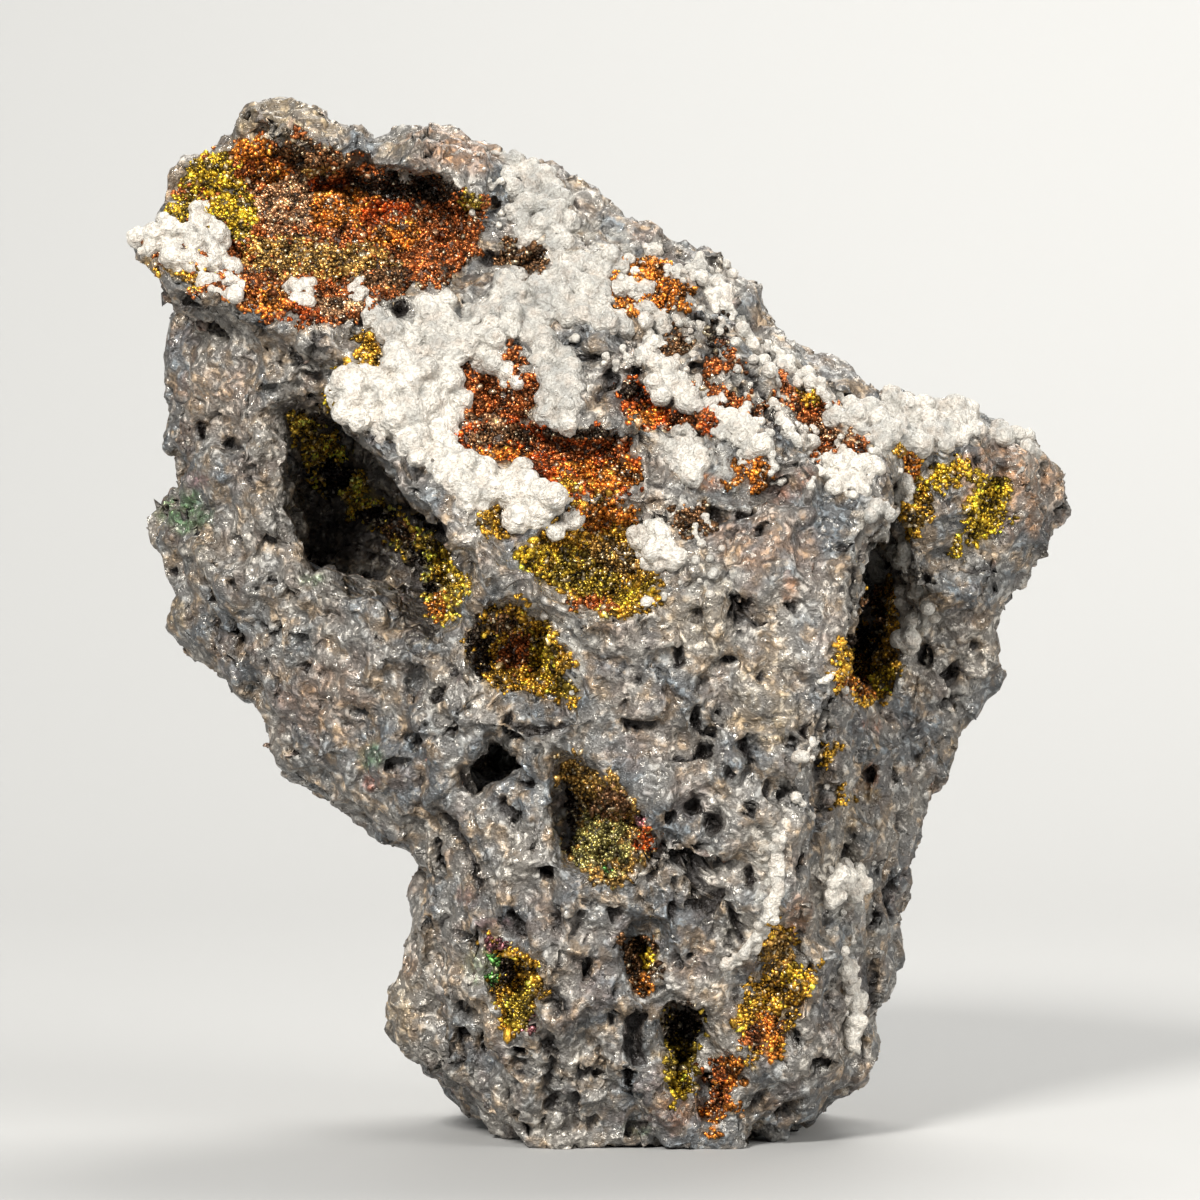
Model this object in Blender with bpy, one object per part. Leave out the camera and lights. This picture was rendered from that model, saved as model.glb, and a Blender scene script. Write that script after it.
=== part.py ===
"""A hand specimen of turgite: a porous iron oxide stone with crystal-lined hollows and white crusts.

Run it with: blender --background --python part.py
Metres, +Z up. The front faces -Y. The origin is under the middle of the stone, on the surface it stands on.
"""

import math
import random

import bmesh
import bpy
import numpy as np
from mathutils import Matrix, Vector, noise
from mathutils.bvhtree import BVHTree

# Driving dimensions
HEIGHT = 0.088
HEIGHT_IN_LISTS = 88.0
MM = HEIGHT / HEIGHT_IN_LISTS
GAP = 0.3 * MM
STONE_TRIANGLES = 6000
CUT_TRIANGLES = 9000
STONE_VOXEL = 1.0 * MM
HOLLOW_VOXEL = 0.8 * MM
CRUST_VOXEL = 0.35 * MM
NEEDLE_EDGE = 0.01 * MM

# The stone's rough skin: how far the broad lumps rise, how wide they are, and the broken ridges among them
LUMPS_RISE = 0.7
LUMPS_WIDTH = 7.0
RIDGE_FINENESS = 2.7
RIDGE_SHARE = 0.6
SKIN_SEED = 1

# Small upright pits in the skin
PIT_COUNT = 110
PIT_REACH = (1.2, 2.4)
PIT_DEPTH_SHARE = 0.8
PIT_SHORTENING = 0.6
PIT_SEED = 5

# The plug of a hollow, ring by ring, as (share of its depth, share of its narrowing), and its reach outside
PLUG_RINGS = ((0, 0), (0.5, 0.3), (0.85, 0.7), (1, 1))
PLUG_REACH = 7

# The lumps of a crust, in shares of the lump's radius, and the triangles each lump gets
LUMP_SPACING = 1.1
LUMP_SPREAD = (0.85, 1.2)
LUMP_LIFT = 0.45
CRUST_TRIANGLES = 50
TRIANGLES_PER_LUMP = 5

# Where the lists below are seen from: (across, up, depth) in MM, depth growing away from the front
EYE_DISTANCE = 430 * MM
EYE_ACROSS = -0.4 * MM
EYE_UP = 46.9 * MM

# How far the stone is moved so that its box is centred on the origin
CENTRE_SHIFT = Vector((-0.3, 1.9, -1.75)) * MM

# The stone's lobes and plates, each the hull of its own corners
LOBES = {
    "lower_trunk": [
        (-15.5, 27, -17), (-16.1, 22, -11), (-16.5, 12, -9), (-14.3, 7, -11), (-12, 4, -13), (-8, 1.3, -16),
        (-2, -2.5, -15.5), (9, -2.5, -15.5), (14, 2.4, -17), (19.5, 3.8, -13), (22.2, 6.3, -8),
        (23.8, 10, -5),
        (24.9, 20, -3), (25.7, 25, -3), (16, 37, -27), (18, 28, -24), (14.5, 20, -23.5), (12.5, 8, -20.5),
        (-4, 20, -23.5), (-9, 10, -20), (-9, 30, -23), (0, 36, -27),
        (-15, 12, 8), (-12, 4, 12), (-12, 27, 14), (0, -2.5, 16), (9, -2.5, 16), (18, 4, 14), (22, 12, 10),
        (24, 25, 12), (10, 36, 22), (-5, 36, 20),
    ],
    "lower_left_lobe": [
        (-19.3, 10.8, -8), (-17, 15, -10), (-15, 18, -14), (-18.3, 9, -8), (-14.5, 7.2, -11), (-12, 4.2, -13),
        (-10, 16, -18), (-16, 12, 6), (-12, 18, 10), (-12, 5, 9),
    ],
    "left_slope": [
        (-37.8, 47.5, -4), (-38, 46, -4), (-36.8, 43.6, -4.5), (-35.3, 41.8, -5), (-32.6, 40, -6),
        (-30.8, 38.8, -7),
        (-33, 47.5, -10), (-26.5, 50, -15), (-24, 48, -17), (-18, 44, -20), (-12.5, 42, -23),
        (-10, 36, -24), (-20, 36, -17), (-27, 38, -12),
        (-34, 46, 7), (-31, 40, 7), (-12, 46, 18), (-22, 47, 16), (-14, 36, 17),
    ],
    "left_slope_foot": [
        (-30.8, 38.6, -6.5), (-29.2, 35.5, -6), (-28.4, 32.6, -6), (-27, 31.8, -6), (-23.5, 30.2, -7),
        (-19.3, 28.4, -9), (-16.7, 26, -12), (-26, 38, -12.5), (-18, 42, -20.5), (-10, 36, -24),
        (-14, 28.5, -21), (-20, 31, -15), (-27, 36, -11.5),
        (-28, 37, 7), (-25, 32, 7), (-17, 27, 9), (-10, 30, 16), (-14, 38, 17),
    ],
    "left_green_lobe": [
        (-38.9, 53, -4), (-38.6, 50, -4), (-38, 48.5, -4), (-37.5, 55.5, -5), (-36, 57, -6),
        (-34, 57.5, -9), (-28, 57, -14), (-26.5, 52, -16), (-27, 48.5, -15), (-34, 48.5, -11),
        (-36, 52, 6), (-34, 56, 8), (-30, 50, 12), (-26, 55, 14),
    ],
    "left_wall": [
        (-37, 70.5, -4), (-38.2, 67.3, -5), (-38.2, 63, -5), (-37.9, 61, -5), (-37, 58.8, -5),
        (-34.5, 58.6, -8), (-30, 58, -13), (-26, 59.5, -15), (-27, 62.5, -15.5), (-24.3, 64.5, -15.5),
        (-22.5, 67, -16), (-30, 71.5, -13.5), (-36, 71, -8), (-34.8, 72.2, -6), (-33, 73, 6),
        (-35, 69, 8), (-35, 60, 8), (-26, 66, 14), (-24, 58, 14),
    ],
    "top_left_plate": [
        (-41, 77.8, -9), (-40.4, 79.7, -8), (-37.4, 80, -8), (-36, 83.3, -6), (-34.4, 85.6, -5),
        (-32.2, 86.6, -4), (-40.1, 76.2, -12), (-37.5, 73.3, -15.5), (-33, 72, -16.5), (-29.5, 70.5, -17.5),
        (-36.3, 72.2, -12), (-35.3, 71.3, -8),
        (-25, 69, -18), (-21.8, 67.5, -18.5), (-20, 70, -18), (-13, 74, -13), (-10, 82, -9), (-20, 85.5, -7),
        (-37, 79, 2), (-35, 83, 3), (-30, 86, 4), (-20, 85.5, 7), (-11, 82, 7), (-36, 75, 2), (-30, 72, 8),
        (-15, 70, 15),
    ],
    "top_left_knob": [
        (-32.3, 88.5, -6), (-31, 89.9, -6), (-28, 90.5, -6), (-26.5, 89.4, -7), (-25, 87.7, -7.5),
        (-23, 86.6, -7), (-20.5, 85.6, -5), (-32.6, 86.5, -7), (-29.5, 86.8, -10.5), (-26, 87, -11.5),
        (-23.5, 86, -12), (-21, 85, -11), (-30, 88, 3), (-27, 89, 2), (-22, 86, 4), (-32, 85, 1),
    ],
    "top_knob": [
        (-19.7, 86.2, -8), (-17.5, 87.3, -9), (-15.3, 87.8, -9), (-13, 87.3, -9), (-11.5, 85.9, -9),
        (-10, 84.8, -8), (-9.3, 83.5, -9), (-20, 84.3, -12), (-17, 83.2, -14), (-14, 83.3, -14.5),
        (-12, 82.3, -14), (-9.5, 82.2, -12), (-18, 86, 4), (-14, 87, 3), (-10, 84, 5),
    ],
    "upper_plate": [
        (-23.3, 66, -18), (-22.5, 62, -20.5), (-19.5, 58.8, -22.5), (-15, 54.8, -25), (-11, 51.6, -26.5),
        (-3.5, 53.3, -27), (5, 56.8, -26.5), (16, 58.5, -23.5), (24, 57.3, -20.5), (22.5, 60.5, -18),
        (14, 69, -13), (8, 73.5, -11.5), (1.5, 79, -8.5), (0.8, 81, -5), (-0.2, 82, -5), (-3, 83, -5.5),
        (-5.6, 84.5, -5.5), (-7.8, 85.3, -5.5), (-9.2, 84.9, -5.5),
        (-9.8, 80, -9), (-10.2, 76, -12), (-14, 73.3, -15), (-19.5, 72.3, -17),
        (-22, 64, 10), (-15, 55, 16), (5, 55, 22), (20, 57, 16), (12, 70, 10), (0, 79, 7), (-8, 84, 5),
        (-15, 76, 10),
    ],
    "centre": [
        (-11, 51.5, -25.5), (-8, 47.3, -25.5), (-4, 45.3, -26.5), (0.5, 44.3, -27.5), (8, 44.5, -28.5),
        (15, 47, -28), (20.5, 50, -26.5), (24.3, 57, -21), (5, 57, -26.5), (19.5, 42, -27),
        (18.5, 37, -26.5), (16, 30, -25.5), (8, 28, -26.5), (-2, 30, -25.5), (-10, 37, -24), (-12, 44, -23.5),
        (-14, 48, 18), (0, 52, 26), (14, 50, 25), (20, 40, 18), (15, 30, 20), (-8, 34, 20),
    ],
    "upper_bands": [
        (1.5, 79, -6), (3, 78, -5), (5, 78, -5), (9.3, 77, -5), (11.8, 75, -5), (13.8, 73.6, -5),
        (14.3, 72.2, -5), (12, 68, -14), (3, 74, -12), (2, 77, 6), (9, 75.5, 6), (13, 72.5, 8), (8, 66, 14),
    ],
    "lower_bands": [
        (13, 73, -6), (14.2, 71.9, -5), (16, 69.7, -5.5), (18.4, 67.4, -6), (21.4, 65.1, -7), (24, 63.3, -9),
        (24.5, 59, -17), (18, 61, -19), (11, 68, -14), (12, 71, 8), (22, 62, 8), (20, 58, 14), (8, 62, 14),
    ],
    "right_shoulder": [
        (22.8, 63.9, -9), (24.5, 64.8, -7), (27.3, 64.7, -6), (28.6, 63.6, -7), (32, 62.4, -6),
        (36.1, 61.1, -2.5), (37.5, 59.2, -1.5), (39.1, 57.7, -0.5), (40.7, 55.6, 0.5), (39.3, 53.9, 0),
        (37.6, 50.5, -1), (36.8, 49.3, -1), (34.4, 46.7, -2), (25, 60, -14), (30, 59.5, -12.5),
        (36, 59, -7.5), (36.5, 54.5, -7.5), (31, 52, -10.5), (25.5, 52, -13), (27, 46, -10), (33, 46.5, -7),
        (25, 62.5, 8), (33, 59.5, 10), (38, 56, 7), (35, 50, 10), (26, 47, 14),
    ],
    "right_recess": [
        (25, 46.5, -6), (34, 45.5, -4), (34.4, 41.5, -2.5), (33.9, 38, -2), (31, 36.6, -1.5),
        (28.5, 36.5, -3), (23, 37, -5), (33, 44, 8), (31, 38, 7), (24, 38, 12), (24, 46, 14),
    ],
    "side_knob": [
        (25.5, 36.5, -5), (28.5, 36.5, -4), (30.3, 35.8, -3.5), (31.1, 34, -3), (30.6, 32, -3.5),
        (29.6, 30.5, -3.5), (27.7, 29, -3.5), (26.8, 29.7, -4.5), (26.3, 33, -7.5), (28.5, 33.5, -7),
        (29, 34, 5), (27, 31, 5), (25, 36, 7),
    ],
    "right_side": [
        (24, 38.5, -4), (19.3, 42, -24), (18.5, 33, -23), (17, 28, -21.5), (25.8, 36, -3), (27, 30, -3),
        (26.7, 26.5, -3), (25.7, 24, -3), (25, 36, 8), (25, 27, 9), (20, 30, 14),
    ],
    "back": [
        (-30, 72, 11), (-12, 76, 14), (2, 72, 15), (18, 62, 16), (30, 55, 13), (24, 40, 16), (20, 22, 17),
        (14, 4, 17.5), (-6, 4, 17.5), (-12, 18, 16), (-22, 38, 14), (-32, 52, 10), (-30, 64, 12),
        (-6, 50, 25), (6, 54, 26), (0, 62, 24), (8, 36, 24), (-4, 30, 22), (0, 60, 0), (5, 15, 0),
    ],
}

# Sharp edges and ledges that stand proud, each a thickness and a run of points
RIDGES = {
    "front_ridge": (1.1, [
        (24.3, 57.5, -21.5), (22, 52, -25.8), (20.7, 46, -28.3), (19.5, 41, -28.3), (18.5, 36, -27.3),
        (16.8, 30, -26.3), (15, 22, -24.8), (13.5, 16, -23.2),
    ]),
    "plate_edge": (1.2, [
        (-22.8, 64, -20.5), (-20, 59, -23.4), (-16, 56, -25.8), (-12.5, 52.5, -27.5), (-9, 49, -27.8),
        (-5.5, 46.8, -28.2), (-2, 45.2, -28.6), (2.5, 44.3, -29),
    ]),
    "hollow_rim": (0.9, [
        (-39.6, 76.3, -12.8), (-37, 73.8, -16.2), (-33, 72.4, -17.6), (-29.5, 71, -18.4), (-25, 69, -19.2),
        (-21.5, 67.6, -19.5),
    ]),
    "long_ledge": (1.0, [
        (2.5, 75.8, -12.8), (7, 74, -13.8), (10, 71, -15), (14, 66.5, -17), (18, 62.5, -19), (24.5, 58, -21),
    ]),
    "lower_ledge": (1.1, [(7.5, 72.3, -15.2), (12, 65, -20), (16.5, 58.5, -25), (18.3, 54, -27.3)]),
    "top_ledge": (0.8, [(-3.6, 82.3, -7.2), (0, 80.3, -8.2), (2.4, 77.2, -10)]),
    "outer_ledge": (0.9, [(9.5, 75.3, -8.5), (13, 69, -12.5), (18, 64.3, -13.5), (23, 61.5, -15)]),
    "leaf_lip": (0.8, [(-9, 38.3, -26.2), (-6.5, 37.3, -27.8), (-2.5, 36.7, -28.4)]),
    "grey_leaf": (1.0, [(-4, 70.3, -17.8), (-0.5, 69.6, -18.8), (3, 67.3, -20.5)]),
    "lower_rib": (0.9, [(-5, 18, -24.4), (-5.2, 13, -23), (-5.6, 8.5, -21.5)]),
    "lower_right_rib": (0.9, [(17.5, 24, -23), (17.3, 15, -20.6), (16.5, 6, -18)]),
    "shoulder_edge": (0.9, [(25.2, 60, -15), (25.6, 56, -15.6), (24.5, 50, -14.3)]),
    "lobe_edge": (0.9, [(-36, 57, -6.5), (-30, 56.5, -13.5), (-26.5, 53.5, -16.5)]),
    "side_rib": (1.0, [(26.5, 28, -5), (23.8, 20, -8.5), (22.3, 8, -9.5)]),
    "right_flank_rib": (1.3, [(25.5, 33, 8), (25.5, 22, 9.5), (22, 10, 10.5)]),
    "left_flank_rib": (1.4, [(-36, 66, 3), (-37.5, 52, 4), (-33, 42, 8), (-24, 32, 9)]),
    "back_rib_high": (1.5, [(-30, 74, 10), (-12, 77, 14.5), (4, 73, 15.5), (18, 64, 16.5), (31, 56, 13.5)]),
    "back_rib_middle": (1.6, [(-26, 55, 15), (-12, 46, 23), (-2, 33, 24), (6, 22, 22)]),
    "back_rib_low": (1.5, [(22, 42, 17.5), (13, 30, 21.5), (10, 14, 19.5), (4, 4, 17.5)]),
}

# Grooves and cracks pressed into the surface, in the same form
GROOVES = {
    "ledge_groove": (0.9, [(6.5, 75.6, -13), (9.5, 72.8, -13.6), (12.6, 68.2, -15.4), (18, 61.6, -18.8)]),
    "upper_groove": (0.8, [(-4.3, 81, -8.2), (-3.2, 78, -10.7), (-3.8, 74.5, -13)]),
    "ridge_groove": (1.0, [
        (21, 44, -25.5), (20.7, 40, -25.6), (19.9, 36, -25), (18.8, 31, -23.6), (17.2, 26, -22.6),
    ]),
    "lobe_groove": (0.8, [(-37, 48.9, -7), (-32, 48.6, -13), (-27.5, 48.2, -16.5)]),
    "neck_groove": (0.8, [(-15.3, 28, -20.5), (-14.3, 24.5, -19.6), (-15, 18, -15.4)]),
    "lower_groove": (0.7, [(-3.2, 20.5, -25), (-2.8, 14, -23), (-1.8, 8, -20.8)]),
    "side_groove": (0.8, [(24.8, 38, -9), (26.2, 34.5, -8.2), (27, 31.5, -7), (27.2, 29, -6)]),
    "recess_groove": (0.8, [(25.5, 46.5, -10), (29, 45.3, -9), (33.5, 44.9, -5.8)]),
    "plate_groove": (0.7, [(4, 57.3, -27), (9, 57.5, -26.4), (15, 57.2, -25)]),
    "back_groove": (1.0, [(-20, 66, 14), (-12, 55, 22), (-6, 42, 25)]),
    "back_crack": (0.9, [(12, 62, 20), (15, 48, 23), (11, 36, 24)]),
}

# Hollows, each from a rim at one depth to a narrower floor at another, as
# (depth of the rim, depth of the floor, narrowing, point it narrows towards, outline)
HOLLOWS = {
    "cave_top": (-19, 2, 0.45, (-25.8, 61.5), [
        (-27.3, 63.7), (-24.3, 64.5), (-23.3, 61.5), (-20.5, 58), (-25, 56), (-27, 60),
    ]),
    "cave_middle": (-21, 4, 0.45, (-23, 54), [
        (-25.5, 57.5), (-20.5, 58), (-17, 54.5), (-13, 51), (-18, 50), (-24.5, 50), (-26.5, 51),
    ]),
    "cave_lower": (-23, -3, 0.55, (-16.8, 47), [
        (-17, 54), (-13, 51), (-11.5, 49.3), (-12, 47.3), (-15.3, 43.7), (-17, 43.3), (-18, 47), (-18, 51),
    ]),
    "middle_hollow": (-25, -19.5, 0.35, (-4, 60), [
        (-13.5, 60.5), (-12, 58.8), (-6.5, 59), (-4, 56.8), (3.2, 56.5), (3, 59.3), (1.5, 60.5),
        (-3, 61.8), (-9, 61.3),
    ]),
    "red_hollow": (-22, -18.5, 0.4, (-9.5, 65), [
        (-13.5, 65.5), (-12.5, 67.5), (-9, 68.5), (-6, 68.5), (-4.5, 66), (-5, 63.5), (-8, 61.5), (-12, 61.5),
    ]),
    "upper_slot": (-17, -13, 0.3, (-7.5, 76.3), [
        (-10.3, 77), (-9, 77.6), (-5, 76.5), (-5, 75), (-8, 75), (-10, 75.8),
    ]),
    "shadow_gap": (-17, -11, 0.3, (-12, 73.8), [
        (-13.2, 73), (-12.5, 75), (-10, 77.5), (-9.6, 75.5), (-10.5, 72.6),
    ]),
    "leaf_hollow": (-22, -17.5, 0.4, (2, 63), [
        (1, 65), (4, 65), (6, 63), (9.3, 62.5), (9, 61.5), (5, 61), (2, 62.5),
    ]),
    "upper_red_hollow": (-16.5, -14, 0.3, (4, 72.5), [
        (0.2, 75.3), (5, 75.5), (7, 73), (6, 71.5), (3, 70.4), (0.2, 72),
    ]),
    "brown_hollow": (-19, -16, 0.4, (5.5, 68.5), [(4.5, 68), (6, 70.5), (7, 69.5), (6.7, 67.7), (5.2, 67.3)]),
    "orange_hollow": (-23.5, -21, 0.4, (12.3, 58.3), [
        (10.7, 58), (12, 59.7), (13.7, 59), (14, 58), (13, 57), (11, 57),
    ]),
    "centre_hollow": (-27.5, -22, 0.3, (0, 51.5), [
        (-7.3, 50.8), (-5, 52.8), (-2.3, 55), (2.6, 54.6), (3.2, 52), (4.6, 49), (5.6, 46.3), (1, 45.3),
        (-3, 46.3), (-6, 48),
    ]),
    "three_cornered_hollow": (-25.5, -17, 0.4, (-7, 43), [
        (-12.2, 43), (-10.5, 45.5), (-8.7, 46.8), (-6.3, 46.5), (-3.5, 42.5), (-1.6, 38.5), (-2.2, 37.2),
        (-5.5, 38.8), (-9.3, 39.2), (-11, 40.5),
    ]),
    "leaf_crack": (-25.5, -20, 0.3, (-5, 35.8), [(-9, 38), (-7, 36), (-3, 35.2), (-3.3, 36.2), (-7.3, 37)]),
    "small_cave": (-26.5, -19, 0.3, (3, 36), [(0.5, 35.3), (1.5, 36.6), (4.8, 37), (4.8, 35.8), (2.5, 34.9)]),
    "lower_hollow": (-25, -17.5, 0.3, (0.5, 28), [
        (-4.6, 28), (-4.6, 32), (-3.5, 34.2), (-2, 33.2), (0.5, 31.5), (3, 30), (3.6, 28), (4.7, 26),
        (2.8, 23.8), (1, 22), (-1.5, 22.5), (-3.5, 24.3), (-4.8, 25),
    ]),
    "deep_slit": (-24, -11, 0.4, (-3.8, 28), [(-4.8, 24.8), (-4.6, 31), (-3.2, 31.3), (-2.6, 28), (-3, 25)]),
    "slot": (-25, -18, 0.35, (7.4, 23), [
        (6.2, 22), (6.7, 26.8), (8, 27.2), (8.4, 25), (8.5, 22), (7.2, 20.2),
    ]),
    "round_pit": (-25.5, -23, 0.4, (7.5, 29.2), [(6.5, 29), (7, 30), (8.3, 29.8), (8.5, 28.8), (7.5, 28.1)]),
    "lower_pocket": (-23, -18, 0.35, (3.5, 15.5), [
        (0.8, 16.8), (1.5, 18.3), (4.6, 18.3), (5, 15.5), (4, 12.8), (2.5, 12.7), (2.2, 15),
    ]),
    "base_hollow": (-20, -11, 0.35, (6.8, 8), [
        (5.3, 13), (8.5, 12.5), (9.4, 11), (7.9, 8), (7.5, 5), (5, 2.8), (5.4, 6), (4.9, 8), (5.8, 11),
    ]),
    "lower_right_hollow": (-21, -17.5, 0.35, (14, 12), [
        (13.8, 19), (15.3, 19), (16.5, 15.5), (16.8, 12), (15, 9), (13, 7.5), (11.8, 9.5), (11.5, 12.3),
        (13.5, 15.3),
    ]),
    "base_slot": (-18.5, -15, 0.35, (10.4, 5), [
        (8.6, 3.8), (9.1, 7.2), (12.3, 8), (11.3, 5), (10.2, 3), (9.5, 0.9),
    ]),
    "lower_left_hollow": (-21, -15, 0.35, (-7.4, 13.8), [
        (-9.8, 17.8), (-8, 17.6), (-5.8, 15.8), (-5.7, 13.5), (-6.5, 10), (-8.5, 10.5), (-9.6, 14),
    ]),
    "side_hollow_top": (-22, 2, 0.4, (23.5, 48), [
        (22, 54), (23, 54.2), (25.6, 50), (26.2, 48), (25.5, 45), (21.4, 45.3), (21.6, 50),
    ]),
    "side_hollow_bottom": (-20, -3, 0.4, (23, 41.5), [
        (20.3, 43.3), (24.5, 45.5), (26.3, 43), (25.3, 40), (22, 38.2), (19.4, 39.7),
    ]),
    "ledge_hollow": (-18, -14.5, 0.3, (18.5, 61.8), [
        (14.6, 65.4), (16, 65.4), (19, 63.5), (22, 60.3), (22.5, 59), (18.3, 59.2), (17.8, 61.5), (14.8, 64),
    ]),
    "shoulder_column": (-13.5, -10.5, 0.3, (26.8, 56), [
        (25.3, 59.5), (27, 59.7), (27.6, 57), (28.2, 55), (27.5, 53), (26.3, 52.3), (25.5, 54.5),
    ]),
    "shoulder_patch": (-10, -7.8, 0.3, (33, 55), [
        (31, 56.5), (33, 57.7), (35, 56), (34.8, 54), (33, 52.8), (31.5, 52), (31, 54),
    ]),
    "shoulder_crack": (-9.5, -4, 0.3, (33.4, 51.5), [
        (30.8, 50.2), (33, 52), (36, 53), (35.6, 51.2), (33.5, 50.7),
    ]),
    "apex_pit": (-4, 0, 0.3, (37.6, 54.8), [(36.8, 55.3), (38.3, 55.4), (38, 54), (37, 54.2)]),
    "recess_hole": (-4, 3, 0.2, (28.6, 37.6), [(27.8, 38.7), (29.3, 38.4), (29.1, 36.8), (28.2, 36.5)]),
    "left_notch": (-14, 10, 0.05, (-38, 57.6), [
        (-41, 58.6), (-37, 58.3), (-34.4, 57.8), (-36, 56.7), (-38.5, 55.6), (-41, 56),
    ]),
    "neck_notch": (-19, -13.5, 0.3, (-17, 27.3), [
        (-18.6, 28.2), (-15.5, 28.4), (-14.2, 27), (-14.6, 25.5), (-16.5, 26.3),
    ]),
    "slope_pit": (-20.5, -17.5, 0.35, (-16.5, 39.5), [
        (-19, 40), (-17.5, 41.2), (-15, 40.5), (-13.7, 38.5), (-15.5, 38), (-18, 38.7),
    ]),
    "wall_pit": (-15.5, -12, 0.3, (-29, 62), [
        (-30.3, 62), (-29.3, 63.2), (-28, 62.5), (-28.3, 61), (-29.7, 61),
    ]),
    "back_cave": (26, 17, 0.4, (2, 52), [(-6, 50), (-3, 57), (6, 58), (10, 53), (7, 47), (-1, 46)]),
    "back_slot": (22, 14, 0.4, (-10, 30), [(-13, 26), (-12, 33), (-8, 35), (-6, 30), (-9, 26)]),
    "back_pocket": (18, 11, 0.4, (16, 22), [(12, 17), (12, 26), (17, 29), (20, 24), (18, 17)]),
}

# The big open hollow at the upper left: mouth corners, then floor corners
BOWL = [
    (-38.3, 79, -30), (-35.8, 84.6, -30), (-30, 85.4, -30), (-24, 84.6, -30), (-16, 82.6, -30),
    (-10.4, 82, -30), (-10.4, 77, -30), (-13.3, 73.6, -30), (-19, 72.6, -30), (-22, 71.4, -30),
    (-27, 70.9, -30), (-33, 73.2, -30), (-38.4, 76.4, -30),
    (-36.5, 81, -7), (-34, 83.5, -4), (-27, 84.6, -3), (-19, 83.4, -3), (-11.5, 81.5, -5),
    (-11.5, 77, -8.5), (-19, 74.5, -11.5), (-27, 72.8, -13), (-34, 75, -11.5),
]

# Crusts that line a hollow or grew on the stone: (lump radius, outline of the lumps' centres)
CRYSTALS = {
    "crystals_upper_left_hollow": (1.5, [
        (-35.8, 81.2), (-34.2, 84), (-30, 84.6), (-24, 83.5), (-16, 81.6), (-11.5, 81), (-11.6, 78),
        (-14, 75), (-19, 74), (-23.7, 74.8), (-26.5, 75.6), (-28.8, 74.6), (-29.7, 77.5), (-32.5, 79.8),
    ]),
    "crystals_left_cave": (1.3, [
        (-24.3, 60.3), (-22, 58.5), (-19, 55.3), (-15, 51.8), (-12.9, 49.6), (-13.6, 48), (-16, 50.3),
        (-19, 53.6), (-22.5, 56.5), (-25, 59),
    ]),
    "crystals_middle_hollow": (1.2, [
        (-12.4, 60.4), (-12, 59.2), (-6.3, 59.2), (-3.6, 57.2), (2.4, 57), (2, 59.2), (-2, 61), (-8, 61),
    ]),
    "crystals_red_hollow": (1.2, [(-12.2, 65.3), (-11, 66.8), (-7, 67), (-6, 65.5), (-7.5, 63), (-11, 62.8)]),
    "crystals_centre_hollow": (1.3, [
        (-5.8, 50.6), (-4.2, 52), (-1.8, 53.6), (1.4, 53.4), (2, 51), (3.5, 48.6), (4.2, 47.2), (1, 46.6),
        (-3, 47.5), (-5, 48.8),
    ]),
    "crystals_three_cornered_hollow": (1.3, [
        (-10.6, 43), (-8.5, 45.3), (-6.9, 45), (-4.6, 42), (-3.2, 39.5), (-5.5, 40.3), (-9, 40.7),
    ]),
    "crystals_ledge_hollow": (1.15, [(16, 64.3), (18.5, 62.9), (21.2, 60.3), (19, 60), (18.5, 62)]),
    "crystals_shoulder_column": (1.1, [
        (25.8, 59.4), (26.9, 59.2), (27.5, 56), (27.8, 54.6), (27, 52.9), (26, 53.4), (25.9, 56),
    ]),
    "crystals_shoulder_patch": (1.15, [
        (31.3, 56.6), (33, 57.4), (34.8, 55.8), (34.6, 54.2), (32.8, 52.9), (31.3, 53.2),
    ]),
    "crystals_side_hollow": (1.15, [(20.6, 40.4), (23, 43), (25, 41.6), (24.6, 40), (22.2, 38.8)]),
    "crystals_lower_hollow": (1.3, [
        (-2.4, 32.2), (0, 31), (2.2, 29.4), (2.8, 26.5), (1.8, 24), (-1.2, 23.4), (-2.6, 26),
    ]),
    "crystals_lower_pocket": (1.1, [
        (1.8, 17.6), (4.3, 17.6), (4.6, 15), (3.5, 13.4), (2.7, 13.6), (2.9, 15.6),
    ]),
    "crystals_lower_left_hollow": (1.15, [
        (-9.2, 17.2), (-7.6, 17), (-6.2, 15.2), (-6.2, 12.6), (-7, 10.8), (-8.2, 11), (-8.9, 14),
    ]),
    "crystals_lower_right_hollow": (1.2, [
        (14, 18.4), (15, 18.2), (16, 15), (16.3, 12.2), (14.8, 9.6), (13.2, 8.3), (12.3, 10.2), (13.6, 14),
    ]),
    "crystals_base_hollow": (1.1, [(5.6, 9.4), (7.6, 9.4), (7.2, 6.8), (7, 4.8), (5.7, 3.6), (5.9, 6.4)]),
    "crystals_base_slot": (1.1, [(9.3, 7), (11.6, 7.5), (10.9, 5), (10, 2.8), (9.4, 2.2), (9, 4.5)]),
}
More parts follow.
